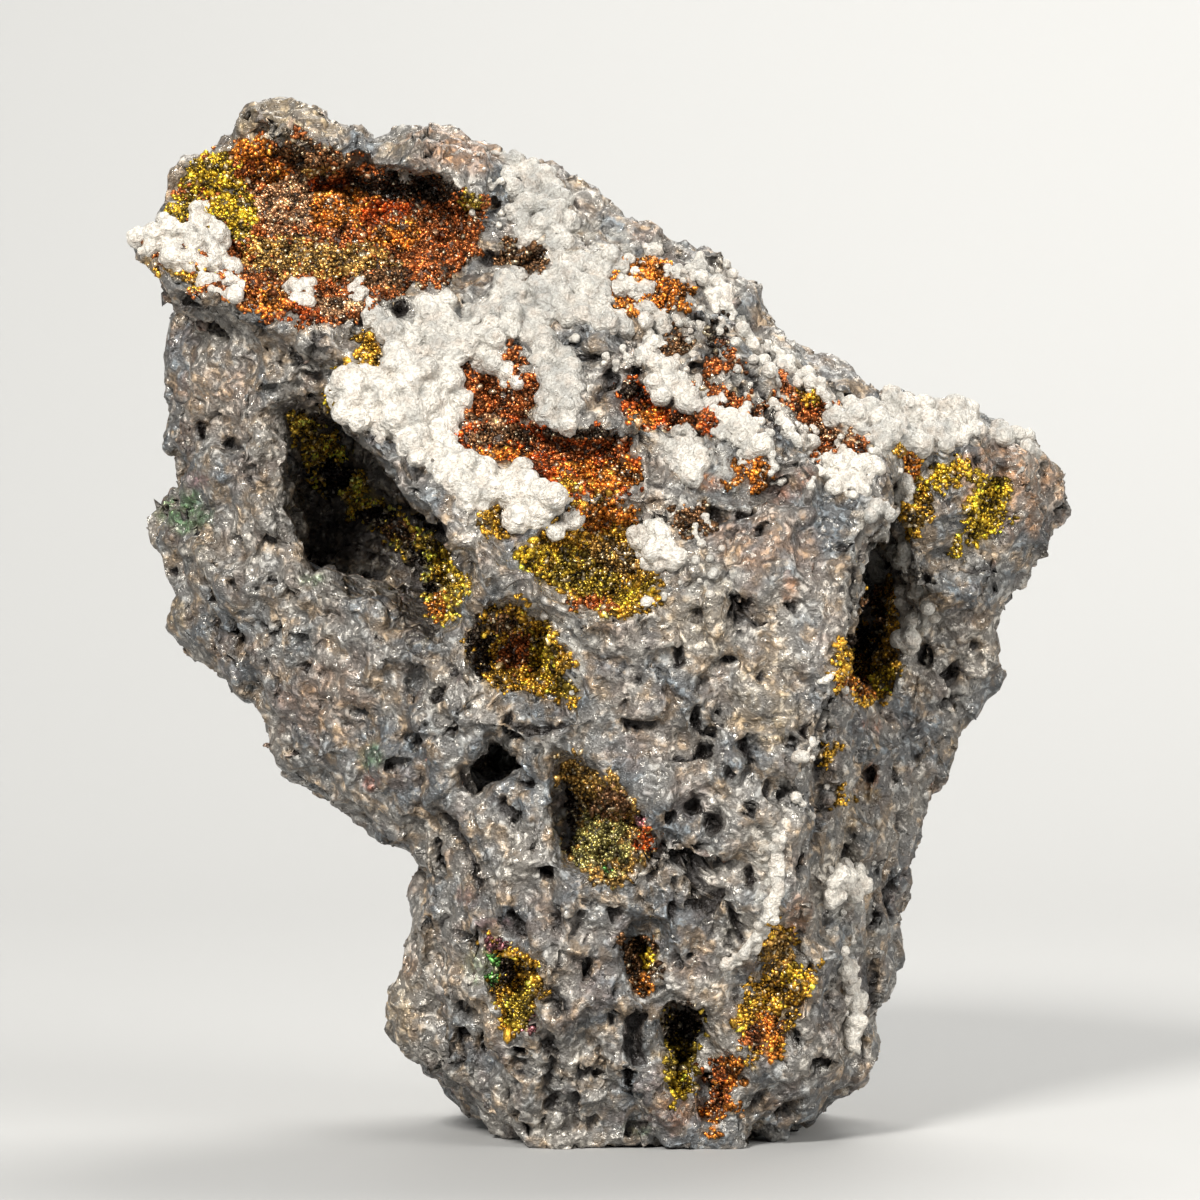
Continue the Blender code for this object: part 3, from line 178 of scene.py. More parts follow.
# Where the white balls grow, by node: ball radius and spacing in mm, how grey each outline's balls are (the last
# greyness holds for the outlines after it), then the outlines
WHITE_CRUSTS = {
    "white_crust_left_tip": (0.9, 1.25, (0.05,), [[
        (-40.2, 78.4), (-38.8, 79.4), (-37.2, 79.6), (-36, 78.6), (-34.8, 81.1), (-34, 80.6), (-33.7, 78.8),
        (-32.4, 78.2), (-33, 76.4), (-31.4, 75.8), (-30.7, 74.4), (-31.4, 72.8), (-32.6, 72.7), (-34.6, 73.6),
        (-35.4, 75), (-36.8, 74.8), (-38, 76.4), (-39.8, 76.7),
    ]]),
    "white_crust_rosette": (0.62, 0.85, (0.0,), [[
        (-27.5, 73.6), (-26.6, 74.6), (-25.2, 74.4), (-24.6, 73.2), (-25.2, 71.9), (-26.6, 71.7), (-27.8, 72.6),
    ], [(-21.7, 73.8), (-20.8, 74.2), (-20, 73.2), (-20.8, 72.4), (-21.8, 72.8)]]),
    "white_crust_middle": (1.15, 1.6, (0.05, 0.4, 0.1), [[
        (-23.5, 64.5), (-22.3, 66.3), (-21.3, 67), (-19.7, 66.7), (-18.6, 65.5), (-16.7, 65.9), (-15.5, 65.9),
        (-13.3, 65.9), (-13.1, 64.3), (-12.1, 63.9), (-12.3, 61.8), (-12.5, 59.4), (-11.5, 58.2), (-9, 58.5),
        (-7.2, 58.4), (-6, 57.2), (-4.6, 56.6), (-2.8, 55.4), (-3, 53.6), (-4.6, 52.8), (-7, 53.8), (-8.8, 55),
        (-10.2, 54.4), (-11.5, 54.6), (-13.6, 56.4), (-15.6, 58.2), (-18, 59.4), (-19.8, 60.9), (-21.4, 62),
        (-22.4, 62.8),
    ], [
        (-21, 71.8), (-19.5, 72.8), (-18.6, 71.5), (-18.4, 70), (-16.6, 70.6), (-16.3, 72.4), (-14.7, 72.8),
        (-13.1, 72.7), (-12.3, 71.3), (-10.2, 73.1), (-9.2, 72.9), (-8.6, 70.6), (-8.6, 68.9), (-9, 66.9),
        (-10.2, 66.7), (-11, 67.5), (-12.3, 68.1), (-13.1, 65.9), (-15.5, 65.9), (-16.5, 65.5), (-17.7, 65.5),
        (-18.9, 67.7), (-18.7, 69.4), (-20.3, 70.1),
    ], [(-8.9, 66.2), (-7.6, 67), (-7.1, 65.8), (-7.6, 64.6), (-8.6, 64.9)]]),
    "white_crust_upper": (0.9, 1.15, (0.6,), [[
        (-9, 85), (-6.9, 84.8), (-4.6, 83.8), (-3.8, 82.5), (-2.9, 80.3), (-3.4, 78.1), (-3.1, 76.3), (0.2, 76.5),
        (3, 75.7), (0.2, 74.5), (0, 72), (1.7, 71.5), (2.7, 69.9), (2.3, 69.1), (-0.2, 70.3), (-1.8, 70.9),
        (-4.6, 70.9), (-4.4, 69.7), (-3, 68.1), (-2, 65.5), (-2, 63.7), (-2.5, 61.3), (-5.2, 61.8), (-5.6, 63.9),
        (-5, 65.5), (-5.8, 66.7), (-6.2, 68.3), (-7.4, 69.3), (-8.6, 68.9), (-9.2, 72.9), (-9.2, 74.2),
        (-7.6, 75), (-4.8, 74.9), (-4.2, 76.1), (-5.2, 78.5), (-7.1, 77.3), (-8.1, 79.5), (-8.3, 82.1),
    ]]),
    "white_crust_right_of_middle": (0.85, 1.2, (0.3,), [
        [(3.2, 66), (5.3, 66.8), (7.1, 66.4), (8.1, 64.8), (9.7, 63.8), (12.5, 62.4), (13.7, 60.1), (13.1, 59.3),
         (11.1, 60.3), (9.5, 60.8), (9.3, 62.2), (8.3, 63), (6.5, 63.2), (5.7, 64.2), (3.8, 64)],
        [(5.7, 62), (6.9, 62.4), (8.3, 60.8), (8.5, 58.5), (7.9, 57.1), (6.5, 57.1), (5.3, 58.9), (5.5, 60.4)],
        [(2.6, 70.8), (3.8, 72.1), (5.5, 71.2), (5.3, 68.8), (4.2, 68), (3.4, 69.2)],
        [(0.6, 74.1), (2.2, 74.5), (4.6, 73.9), (4.2, 72.9), (2.6, 72.6), (1, 72.9)],
        [(3.2, 68.4), (4.4, 67.4), (6.4, 66.6), (5.6, 65.8), (3.6, 66.6), (2.2, 68.4)],
    ]),
    "white_crust_bands": (0.6, 0.8, (0.2,), [
        [(6.7, 75.7), (7.9, 76.5), (9.1, 74.9), (10.7, 73.7), (11, 71.4), (9.5, 71.6), (8.3, 73.3), (7.5, 74.3)],
        [(3.2, 77.2), (4.2, 77.4), (5.2, 76.6), (4.6, 76)], [(10, 76.1), (10.9, 76), (11.4, 74.8), (10.6, 74.6)],
        [(10.6, 72.2), (11.4, 71.2), (13.4, 68.2), (15.4, 65.6), (15, 65.2), (12.8, 67.6), (10.8, 70.8)],
        [(13.2, 69.2), (16.6, 66.7), (20.8, 63.9), (20.4, 63.2), (16.2, 65.9), (13.2, 68.4)],
    ]),
    "white_crust_ledge_end": (0.7, 0.95, (0.05,), [
        [(18, 58.8), (20.7, 59), (23, 58.8), (23.9, 58.2), (22.8, 57.3), (22.4, 56.1), (21.5, 55.5), (20.5, 55.9),
         (19.9, 56.5), (19.4, 56.3), (18.8, 57.5)],
        [(14.9, 62.7), (17.8, 61.5), (17.5, 59.5), (16.4, 59.7), (15.4, 61)],
        [(24.8, 58.2), (25.6, 58), (26.4, 56), (26.1, 55), (25, 54.8), (25, 56.6)],
    ]),
    "white_crust_shoulder": (1.0, 1.1, (0.4,), [[
        (19.7, 63.2), (23, 63.8), (23.9, 64.7), (26.4, 64.9), (28, 64.1), (29.9, 63.6), (32.2, 62.6),
        (32.2, 61.3), (29.9, 60.1), (27.8, 60.3), (26.8, 59.4), (24.7, 60.1), (23, 59.9), (21.1, 61.8),
        (19.9, 62.4),
    ], [(33, 62), (36, 61.4), (37, 59.8), (36.6, 58.8), (35.6, 60.4), (33, 61)]]),
    "white_crust_hollow_side": (0.75, 1.0, (0.1,), [
        [(2.3, 53), (3.7, 54), (5.1, 52.8), (6.7, 50.5), (5.5, 49.9), (4.3, 49.1), (3.3, 50.9)],
        [(3.2, 47.1), (4, 47.2), (4.6, 46.2), (3.6, 46)],
    ]),
    "white_crust_right_vein": (0.68, 0.85, (0.0,), [
        [(20.3, 17), (21.3, 16.4), (21.6, 14), (22, 12), (22, 8.6), (21, 7.8), (20.4, 9.6), (20.7, 12), (20.2, 14.4)],
        [(19, 22.4), (19.8, 24.4), (21, 24.2), (22.6, 22.6), (22, 21.2), (20.8, 22.6), (19.8, 21.6), (19.4, 20.4)],
    ]),
    "white_crust_lower_vein": (0.46, 0.6, (0.2,), [
        [(14.4, 27), (15.3, 26.4), (15.2, 22), (14.5, 19), (12.8, 16.8), (10.2, 15), (9.8, 15.7), (12, 17.6),
         (13.6, 19.8), (14.2, 22.4)],
        [(16.2, 34.2), (17.2, 34), (17.2, 32.8), (16.3, 32.8)], [(16.4, 30.3), (17.2, 30.1), (17, 29.2), (16.4, 29.2)],
    ]),
}

# Colours seen in places, as (colour, across, up, half width, half height, strength)
COLOUR_SPOTS = [
    (YELLOW, -34, 83.6, 3, 2.2, 1), (YELLOW, -32.6, 80.2, 3.6, 3, 1), (YELLOW, -36.6, 80, 1.8, 1.8, 1),
    (OLIVE, -31.6, 78.4, 2, 1, 0.7), (ORANGE, -30.4, 85.2, 2.2, 1.4, 0.9), (ORANGE, -28.6, 83.2, 2.4, 1.6, 0.9),
    (ROSE_TAN, -27.4, 81.2, 3.4, 3, 1), (RED, -24, 82.2, 3, 1, 0.9), (ORANGE, -22.4, 80.6, 4, 2.2, 1),
    # The black spot at -16.4 across is painted shadow under the upper knob.
    (RED, -19.2, 80, 3.6, 1.4, 1), (BLACK, -16.4, 82.4, 6, 1.4, 1), (OLIVE, -11.4, 81.2, 1.2, 1.6, 0.9),
    (RUST, -13.4, 78, 3.6, 3, 1), (ORANGE, -17.4, 78.2, 3, 1.8, 0.8), (KHAKI, -26.5, 76.4, 5, 1.9, 1),
    (KHAKI, -22, 76, 4.6, 1.6, 1), (BROWN, -19, 74.4, 2.4, 1.2, 0.6), (ORANGE, -28.2, 72.4, 3.4, 1.2, 1),
    (RED, -26.2, 71.2, 2, 0.9, 1), (GOLD, -36.2, 74.6, 2.4, 1.4, 1), (ROSE_TAN, -23.4, 72, 2.2, 1, 0.7),
    # The two bright gold spots at the end of this line and the start of the next are painted light in the cave.
    (BROWN, -25, 85, 4, 1.6, 0.9), (KHAKI, -24.6, 83.8, 2, 0.9, 0.7), (PAINTED_LIGHT_GOLD, -20.4, 56.2, 3, 1.8, 1),
    (PAINTED_LIGHT_GOLD, -25, 60.8, 1.6, 2.4, 1), (BROWN, -17.6, 53, 2, 1.4, 0.6), (OLIVE, -14.6, 51.2, 1.6, 1.2, 0.8),
    (YELLOW, -12.8, 49.6, 1.4, 2, 0.9), (ORANGE, -14.6, 46.4, 1.2, 1.6, 0.9), (RUST, -10, 63, 2, 1.4, 0.8),
    (ROSE_TAN, -10.4, 62.4, 2, 0.9, 1), (BROWN, -8.4, 60.8, 3.6, 1, 1), (ORANGE, -9, 59.2, 3.6, 0.8, 1),
    (RUST, -3, 60, 5, 1.6, 0.9), (ORANGE, -0.4, 57.6, 4, 1.6, 1), (GOLD, -3.4, 56.4, 1.6, 1, 1),
    (BLACK, -2.4, 61.2, 5, 0.7, 0.8), (ORANGE, -0.4, 54.4, 3, 1.4, 1), (YELLOW, -6, 50.8, 1.8, 1.4, 1),
    (OLIVE, -2, 49.4, 4, 2, 0.9), (KHAKI, 0.4, 50.4, 3, 1.8, 0.8), (YELLOW, 2.6, 47.4, 2, 1.2, 0.9),
    (RUST, -1.4, 46.4, 2.4, 0.8, 0.8), (BLACK, -11, 42.4, 1.4, 2.8, 1), (RUST, -7.6, 42.6, 1.6, 1.8, 0.9),
    (YELLOW, -5.4, 42.4, 1.4, 2, 0.9), (BROWN, -8.6, 45, 1.6, 1, 0.8), (OLIVE, -3.4, 39.4, 1.2, 1.2, 0.9),
    (BLACK, 2, 64.6, 1.6, 0.9, 1), (ORANGE, 3.4, 62.6, 1.8, 1, 1), (RUST, 7.6, 62.2, 2.4, 0.8, 1),
    (GOLD, 18, 64.6, 1.6, 1, 0.8), (ROSE_TAN, 19.6, 61.4, 1.8, 1.4, 0.5), (GOLD, -8.6, 43.4, 0.8, 1, 0.6),
    (GOLD, -20.6, 68, 1.6, 1.8, 1), (YELLOW, -23.2, 64.4, 0.9, 2.6, 1), (BROWN, 22.6, 46.4, 1.6, 1.8, 0.9),
    (BLACK, 22.4, 43.6, 1.6, 1.4, 0.7), (YELLOW, 24, 40.2, 1.4, 1.2, 1), (ORANGE, 21.6, 39.4, 1.6, 1, 0.6),
    (GREEN, 0.2, 24.2, 1.4, 1, 0.35), (RED, 3.4, 26.6, 1.2, 1.2, 1), (PALE_OLIVE, -0.6, 25.8, 3, 2.8, 1),
    (ROSE_TAN, 0.6, 29.4, 1.8, 1.6, 0.8), (BLACK, -3, 28, 0.8, 3.6, 0.9), (PINK, 3.2, 28, 1, 0.8, 0.5),
    (ORANGE, 3.6, 13.8, 1, 0.9, 0.9), (ORANGE, 13.6, 9.4, 1.6, 2.2, 0.8), (KHAKI, 15, 16.6, 1.6, 2.4, 0.9),
    (YELLOW, 3.6, 16.4, 0.9, 1, 0.5), (PINK, -6.4, 10.8, 1, 1.6, 0.4), (BLACK, -8.4, 15.2, 0.9, 1.3, 0.9),
    (OLIVE, -7, 12, 1.2, 2, 0.9),
    (GREEN, -9.6, 15.4, 1, 1.6, 0.4), (PINK, -9.6, 17.6, 1.4, 0.7, 0.5), (OLIVE, -7.6, 13, 1, 1, 0.6),
    (YELLOW, 16.2, 15, 1.4, 1, 0.9), (RUST, 12.8, 9.4, 1.2, 1.6, 0.8), (BLACK, 6.8, 11, 1.8, 2.4, 1),
    (RUST, 9.6, 5.6, 1.4, 3, 0.9),
    # The black spots on this line and the next are painted shade in the deep cave.
    (BLACK, -23.2, 57.4, 1.8, 1.8, 1), (BLACK, -19.4, 54, 2, 1.2, 1), (BLACK, -15.8, 50.6, 1.4, 1.2, 1),
    (BROWN, -21.2, 56, 1.4, 1.2, 0.8), (BLACK, -24.8, 63, 1.2, 0.8, 0.9), (BLACK, -14.8, 47.6, 0.7, 1.4, 0.9),
    (YELLOW, 6.4, 5.4, 1, 2, 0.8), (YELLOW, 28.6, 57.6, 2, 1.4, 0.7), (ORANGE, 26, 58.4, 1, 1.4, 0.7),
]

# Stains in the stone's own skin, in the same form
STONE_STAINS = [
    (SAND, -27.8, 88, 6.5, 3.2, 1), (KHAKI, -29, 86, 4, 1.2, 0.8), (SAND, -16, 85.6, 4, 1.6, 0.55),
    (ROSE_TAN, -13, 85.6, 5, 2.4, 0.95),
    # The grey band at -33 across is painted shade under the bowl's rim.
    (GOLD, -38.4, 75.6, 1.4, 1, 0.8), (RIM_SHADE_GREY, -33, 71.6, 8, 0.9, 0.5), (GREEN, -35.8, 54.4, 2.6, 2.2, 0.75),
    (PINK, -35, 57.2, 1.6, 0.8, 0.6), (GREEN, -25, 48.6, 1.6, 0.7, 0.5), (GREEN, -20, 33.6, 1.2, 1.4, 0.5),
    (RED, -20, 31.4, 1, 1, 0.6), (SAND, -36.4, 45.6, 1, 1.8, 0.7), (BROWN, -32, 43, 3, 1.2, 0.5),
    (PINK, -11.7, 21.6, 1, 1.2, 0.45), (PINK, -12.7, 40.4, 0.9, 0.7, 0.45), (PINK, -9, 19.2, 2.2, 0.7, 0.5),
    (SAND, -17.8, 12, 2.2, 3.4, 0.65), (GREEN, -11, 15.6, 1.4, 1.8, 0.45), (ROSE_TAN, 35, 57, 5, 5, 0.95),
    (SAND, 8, 46, 4, 5, 0.5), (ROSE_TAN, 13, 52, 5, 3, 0.6), (SAND, 13.6, 38, 4, 5, 0.6),
    (RUST, 14.6, 56.4, 2, 1.6, 0.6), (RUST, 17, 57.6, 1, 1.4, 0.6), (ORANGE, 15.8, 47.6, 1, 1.6, 0.6),
    (ORANGE, 22.8, 32, 0.9, 1.2, 0.7), (RUST, 23, 36.2, 1, 1, 0.7), (GOLD, 23, 30, 0.8, 1, 0.6),
    (ROSE_TAN, 6, 73.8, 4, 1.6, 0.5), (BROWN, 1, 65, 3, 2.6, 0.5), (ROSE_TAN, 3.6, 78.4, 2.6, 1, 0.6),
    (SAND, 21, 26, 3, 5, 0.4), (ORANGE, 16.8, 20, 1.6, 2, 0.5), (BROWN, 20, 12, 3, 4, 0.4),
    (SAND, 30.4, 34, 2, 3, 0.3), (ORANGE, 6, 3, 3, 2, 0.4), (GREEN, 2.6, 1.6, 1.6, 0.8, 0.5),
    (BROWN, 0, 41, 4, 2, 0.35), (SAND, -14, 49, 2, 1.6, 0.3), (ORANGE, 9, 57, 1.6, 0.8, 0.7),
    (ROSE_TAN, -33, 64, 4, 4, 0.35), (SAND, -34, 51, 3, 2, 0.3), (ROSE_TAN, -24, 38, 5, 4, 0.35),
]

# White dusting on the stone: (across, up, half width, half height, strength)
WHITE_DUST = [
    (12, 66, 6, 4, 0.55), (8, 71, 5, 5, 0.45), (24, 61, 5, 2.4, 0.6), (-2, 76, 6, 4, 0.5), (9, 60, 5, 3.4, 0.4),
    (23, 52, 2.4, 4, 0.5), (-3, 41.6, 1.2, 4, 0.8), (14, 23, 1.4, 5, 0.6), (20.6, 20, 2.4, 4, 0.4),
    (25.5, 46, 3, 3, 0.45), (-14, 70, 8, 4, 0.4), (30, 62, 6, 2, 0.5), (36.6, 60, 2, 3, 0.5), (10, 49, 1.6, 1.2, 0.5),
    (7.6, 47.4, 0.8, 0.8, 0.6), (-5, 30, 1.2, 3, 0.25), (21.5, 40, 1, 2, 0.5),
]

# Pits and cracks, given one by one: (across, up, half width, half height, tilt in degrees, depth)
PITS = [
    (-5.7, 35.8, 2.9, 0.5, -8, 1.8), (-8.2, 36.6, 0.5, 1.2, 20, 1.4), (2.6, 36.1, 1.8, 0.65, 10, 2.2),
    (6.6, 42.3, 0.6, 1.1, 0, 1.8), (10.5, 41.5, 0.9, 0.35, 0, 1.2), (7.9, 36.5, 0.5, 1.2, -10, 2),
    (9.9, 36.6, 0.5, 1.3, 15, 2), (6.6, 33.9, 1.4, 0.5, -20, 1.8), (8.8, 34.1, 0.7, 1, 0, 2),
    (12.2, 45.2, 0.8, 1.1, 0, 2), (10.9, 46.8, 0.5, 0.5, 0, 1.4), (17.3, 35.8, 0.55, 0.8, 0, 1.6),
    (16.8, 32.7, 0.4, 0.6, 0, 1.2), (12.7, 28.8, 0.8, 0.7, 30, 1.8), (7.4, 29.3, 0.8, 0.8, 0, 1.6),
    (7.6, 24, 1.05, 3.2, 4, 3), (8.7, 27.2, 0.5, 0.9, 20, 1.6), (11.5, 19.3, 0.45, 2.2, -22, 2),
    (9.5, 21.6, 0.5, 1.1, 0, 1.6), (12.4, 23.4, 0.45, 1, -10, 1.4), (6.4, 16, 0.6, 0.8, 0, 1.6),
    (-8.1, 32.7, 1.3, 0.4, -25, 0.9), (-6.9, 31.2, 0.9, 0.5, 10, 1.4), (-9.8, 34, 0.35, 0.8, 0, 0.7),
    (-4.9, 23.6, 0.5, 0.8, 0, 1.2), (-14.1, 24.9, 0.5, 1.5, -15, 1.8), (-7.6, 19.2, 0.4, 1.7, -28, 1.4),
    (2.6, 9.4, 0.8, 2.2, 0, 2.2), (2.2, 5.6, 0.45, 1.4, 5, 1.8), (6.4, 12.2, 1.6, 1.3, 0, 2),
    (-7.4, 7.3, 0.5, 1.2, 0, 1.6), (-4.7, 7.3, 0.5, 1.1, 10, 1.6), (6, 20, 0.5, 0.9, 0, 1.4),
    (9, 5.9, 0.5, 1.3, 0, 1.4), (-16.2, 40.9, 1.1, 0.6, -20, 1.8), (-14.6, 38.7, 1.1, 0.8, -20, 2),
    (-13, 36.4, 1, 0.5, -25, 1.4), (9.6, 54.2, 0.8, 1, 30, 1.8), (11.9, 54.4, 0.8, 0.7, 0, 1.8),
    (13.4, 53, 0.5, 0.5, 0, 1.2), (22.7, 32, 0.6, 0.7, 0, 1.4), (23, 36.3, 0.5, 0.6, 0, 1.4),
    (39, 54.4, 0.45, 0.7, 0, 1.4), (32, 59.2, 0.6, 0.6, 0, 1.4), (27.6, 49, 0.8, 0.5, 30, 1.6),
    (32.6, 49.6, 2.6, 0.4, -22, 1.6), (32.2, 47.4, 0.6, 0.6, 0, 1.2), (-24.8, 64.2, 0.7, 0.5, 0, 1.2),
    (-21, 37.4, 0.7, 0.4, 0, 1.2), (-25.6, 41.4, 0.6, 0.4, 0, 1.2), (-29, 44.4, 0.7, 0.4, 0, 1.2),
    (-18.4, 33, 0.5, 0.8, 0, 1.4), (-10.4, 9, 0.4, 1, 0, 1.2), (-8.6, 4.6, 0.4, 0.8, 0, 1.2),
    (0.6, 11, 0.4, 1.1, 0, 1.6), (-1.6, 15.4, 0.4, 1.2, -10, 1.6), (1, 20, 0.5, 0.7, 0, 1.4),
    (-0.6, 6.4, 0.4, 1, 0, 1.4), (10.4, 32, 0.5, 0.8, 0, 1.6), (13.6, 40.4, 0.4, 0.6, 0, 1.2),
    (14.2, 30.4, 0.4, 1, -10, 1.4), (20.6, 25, 0.5, 0.9, 0, 1.4), (22.6, 27, 0.4, 0.7, 0, 1.2),
    (18.6, 11.4, 0.4, 1, 0, 1.4), (29.8, 40.6, 0.9, 1.1, 0, 2), (27.4, 42.4, 0.7, 0.9, 0, 1.8),
    (31.8, 43, 0.6, 0.6, 0, 1.4), (29, 38, 0.8, 0.8, 0, 1.6), (-17.4, 71.6, 0.9, 0.9, 0, 2.4),
    (-9.6, 76.4, 1.4, 0.9, 0, 2.4), (-7, 76, 1.6, 0.7, -15, 2), (2.6, 66.4, 0.5, 0.5, 0, 1.4),
    (5, 70, 0.9, 0.7, 0, 1.8), (-1.4, 67.8, 1.2, 0.4, 10, 1.4), (-33.6, 54, 0.7, 1, 10, 1.6),
    (-30.6, 57.6, 0.5, 0.6, 0, 1.2), (-31.6, 51.8, 0.6, 0.9, 0, 1.4), (-37, 49.4, 0.5, 0.6, 0, 1.2),
    (-28.6, 51.8, 0.7, 0.6, 0, 1.4), (-26.8, 47.6, 0.6, 0.5, 0, 1.2), (-33.4, 47, 0.6, 0.4, 0, 1.2),
]

# Grooves along lines seen on the front: (width, depth, points)
GROOVES = [
    (0.7, 0.9, [(-38.5, 72.8), (-33, 70.4), (-28, 68.4), (-24.4, 66)]),
    (0.55, 1.4, [(24.4, 56), (22.4, 52), (21.6, 47.4), (21, 43.4)]),
    (0.5, 1.3, [(19, 38), (18.4, 34), (18.8, 30), (18.2, 26)]),
    (0.5, 1.0, [(9.2, 74.2), (12, 70.2), (15, 66.4), (19.6, 62.8)]),
    (0.5, 0.9, [(5.8, 74), (8.2, 70.6), (11.8, 67.2), (14.4, 64)]),
    (0.45, 0.9, [(8.6, 68.2), (11, 65.8), (14, 62.2), (16.4, 58.6)]),
    (0.45, 0.7, [(-2, 62.6), (0.6, 65.4), (4.2, 67), (7.6, 66.8)]),
    (0.5, 0.8, [(3, 57.4), (7, 56.2), (11, 55.6), (15, 56.8)]),
    (0.45, 0.7, [(-12, 31.4), (-7.4, 28.4), (-4.6, 23), (-4.2, 17.4), (-3.2, 10)]),
    (0.45, 0.6, [(13.4, 44), (16.4, 40), (17.4, 34.8)]),
    (0.45, 0.8, [(23.6, 25), (22.8, 18.6), (23.2, 11)]),
    (0.5, 0.7, [(-36, 61.6), (-31, 59.8), (-28, 56), (-27.6, 52)]),
    (0.45, 0.6, [(-24, 47.8), (-19.6, 43.8), (-14.4, 42), (-11.8, 40)]),
    (0.5, 0.8, [(-14.6, 28.8), (-12, 26), (-10.4, 21), (-8, 18.6)]),
]

# Small white lumps strewn over the stone: (spacing, radius, greyness, outline)
WHITE_LUMPS = [
    (1.5, 0.42, 0.3, [
        (-4, 70), (0, 76.4), (8, 76), (14, 70), (21, 64), (24, 62), (22, 57.4), (14, 57), (8, 60), (2, 66),
    ]),
    (1.2, 0.7, 0.6, [(22.4, 48.6), (22.4, 54.6), (25.4, 55), (26, 49.4), (24.6, 47.6)]),
    (1.5, 0.8, 0.4, [(24.6, 43.4), (24.6, 48.4), (28.6, 46.6), (28.6, 43)]),
    (1.7, 0.4, 0.3, [(5, 47), (6, 54.4), (10, 54), (9.6, 47.6)]),
    (1.3, 0.34, 0.4, [(-5.6, 46), (-4.4, 46.2), (-1.2, 39.4), (-2, 38.8)]),
    (2.2, 0.36, 0.3, [(-13, 83), (-9, 85.6), (-2, 80), (-8, 76)]),
    (1.5, 0.4, 0.2, [(20.6, 46.6), (22.6, 46.6), (22.6, 44.6), (20.8, 44.6)]),
    (1.6, 0.4, 0.2, [(18.6, 41.8), (22.8, 41), (22.6, 38.8), (19, 39)]),
    (1.9, 0.34, 0.4, [(16, 28), (18, 28), (18.4, 35), (16.4, 35)]),
    (1.8, 0.3, 0.4, [(18.6, 17), (22.8, 18), (23, 25), (19, 25)]),
    (2.6, 0.34, 0.5, [(30, 62.6), (37, 61), (40, 56), (36, 57), (31, 60)]),
]

# How the stone grew, in mm seen on the front: upright in the trunk, below its top and right of its left edge, and in
# slanting bands above their foot and right of their left edge. Each edge fades out over the mm after it.
TRUNK_TOP, TRUNK_TOP_FADE = 46, 8
TRUNK_LEFT, TRUNK_LEFT_FADE = -22, 6
BANDS_FOOT, BANDS_FOOT_FADE = 54, 5
BANDS_LEFT, BANDS_LEFT_FADE = -2, 4
BANDS_SLANT = 40

# How much finer shapes are along x, y and z where the stone grew every way, upright and in bands
EVERY_WAY = (1, 1, 1)
UPRIGHT_RIDGES, SLANTED_RIDGES = (1, 1, 0.4), (0.45, 1, 1.3)
UPRIGHT_CELLS, SLANTED_CELLS = (1.15, 1, 0.42), (0.45, 1, 1.2)

# Open cells in the skin: (width in mm, share that is open, depth in mm, seed, only behind)
OPEN_CELLS = ((3.2, 0.16, 2.2, 1, True), (1.9, 0.26, 1.5, 2, False), (1.05, 0.22, 0.7, 3, False))
# How thick the walls between cells are, as a share of the cells' width
CELL_WALL = 0.14

# How far pits reach, as a share of their size, and how much of their push goes along the normal at their middle
PIT_REACH = 1.3
PIT_LEAN = 0.6
# The share of the stone's thickness that pits and cells may take away, and the most thickness in mm that counts
DEEPEST_PIT = 0.42
DEEPEST_CELL = 0.3
THICK_ENOUGH = 6.0

# Stains behind, where the photograph shows nothing: (colour, seed)
BACK_STAINS = ((KHAKI, 63), (RUST, 65), (SAND, 67))

# Colours painted as shade in the stone's cave, creases and pits, and as highlights on glinting facets, and of the
# darkest and palest parts of the crystals
CAVE_PAINTED_SHADE = (0.03, 0.021, 0.016)
CREASE_PAINTED_SHADE = (0.03, 0.025, 0.022)
PAINTED_GLINT_COLOUR = (0.66, 0.62, 0.56)
PIT_PAINTED_SHADE = (0.012, 0.009, 0.008)
CRYSTAL_SHADE = (0.04, 0.02, 0.008)
PALE_GRAIN = (0.42, 0.36, 0.25)

# How far in front of a triangle's middle a ray from the eye may land, and how far off a vertex a ray to the eye
# starts, in mm
TRIANGLE_SLACK = 1.2
VERTEX_CLEARANCE = 1.5

# The width, depth and height of a crystal and of a chip of grit, each (least, greatest), as shares of its size
GRAIN_SIDES = ((0.7, 1.2), (0.5, 1.0), (0.8, 1.7))
CHIP_SIDES = ((0.6, 1.7), (0.4, 1.1), (0.4, 0.8))
# The height in mm above which chips lie, and how far they lean
CHIPS_ABOVE = 0.6
CHIP_TILT = 0.5

# How far apart the small balls that fill a white crust are, and the rows of balls, as shares of its spacing
FILLING = 0.62
ROW_HEIGHT = 0.87

# The stage, in metres
FLOOR_WIDTH = 5
FLOOR_MIDDLE = -1.7
BACKDROP_HEIGHT = 1.4
BACKDROP_CURVE = 0.5
LIT_MIDDLE = (0, 0, 0.045)
LIGHT_COLOUR = (1.0, 0.975, 0.93)
SKY_COLOUR = (0.9, 0.95, 1.0)

# Starts of the random draws
GRIT_SEED = 900
LINING_SEED = 1
SMALL_LINING_SEED = 50
CRUST_SEED = 300
LUMPS_SEED = 350

# What the skin's vertices carry: name, kind and how many numbers for each vertex
ATTRIBUTES = (("pit_shade", "FLOAT", 1), ("stain_and_cave_shade", "FLOAT_COLOR", 4), ("dust", "FLOAT", 1))
FIELDS = {"FLOAT": "value", "FLOAT_COLOR": "color", "FLOAT_VECTOR": "vector"}


# Places seen by the eye


def seen(across, up):
    """The direction from the eye to a place seen on the front."""
    target = Vector((across + CENTRE_SHIFT[0], CENTRE_SHIFT[1], up + CENTRE_SHIFT[2])) * MM
    return (target - EYE).normalized()


def seen_places(places):
    """Where the eye sees these places, in mm across and up."""
    local = places / MM - CENTRE_SHIFT
    nearer = 1 + local[:, 1] / EYE_DISTANCE
    across = EYE_ACROSS + (local[:, 0] - EYE_ACROSS) / nearer
    up = EYE_UP + (local[:, 2] - EYE_UP) / nearer
    return across, up


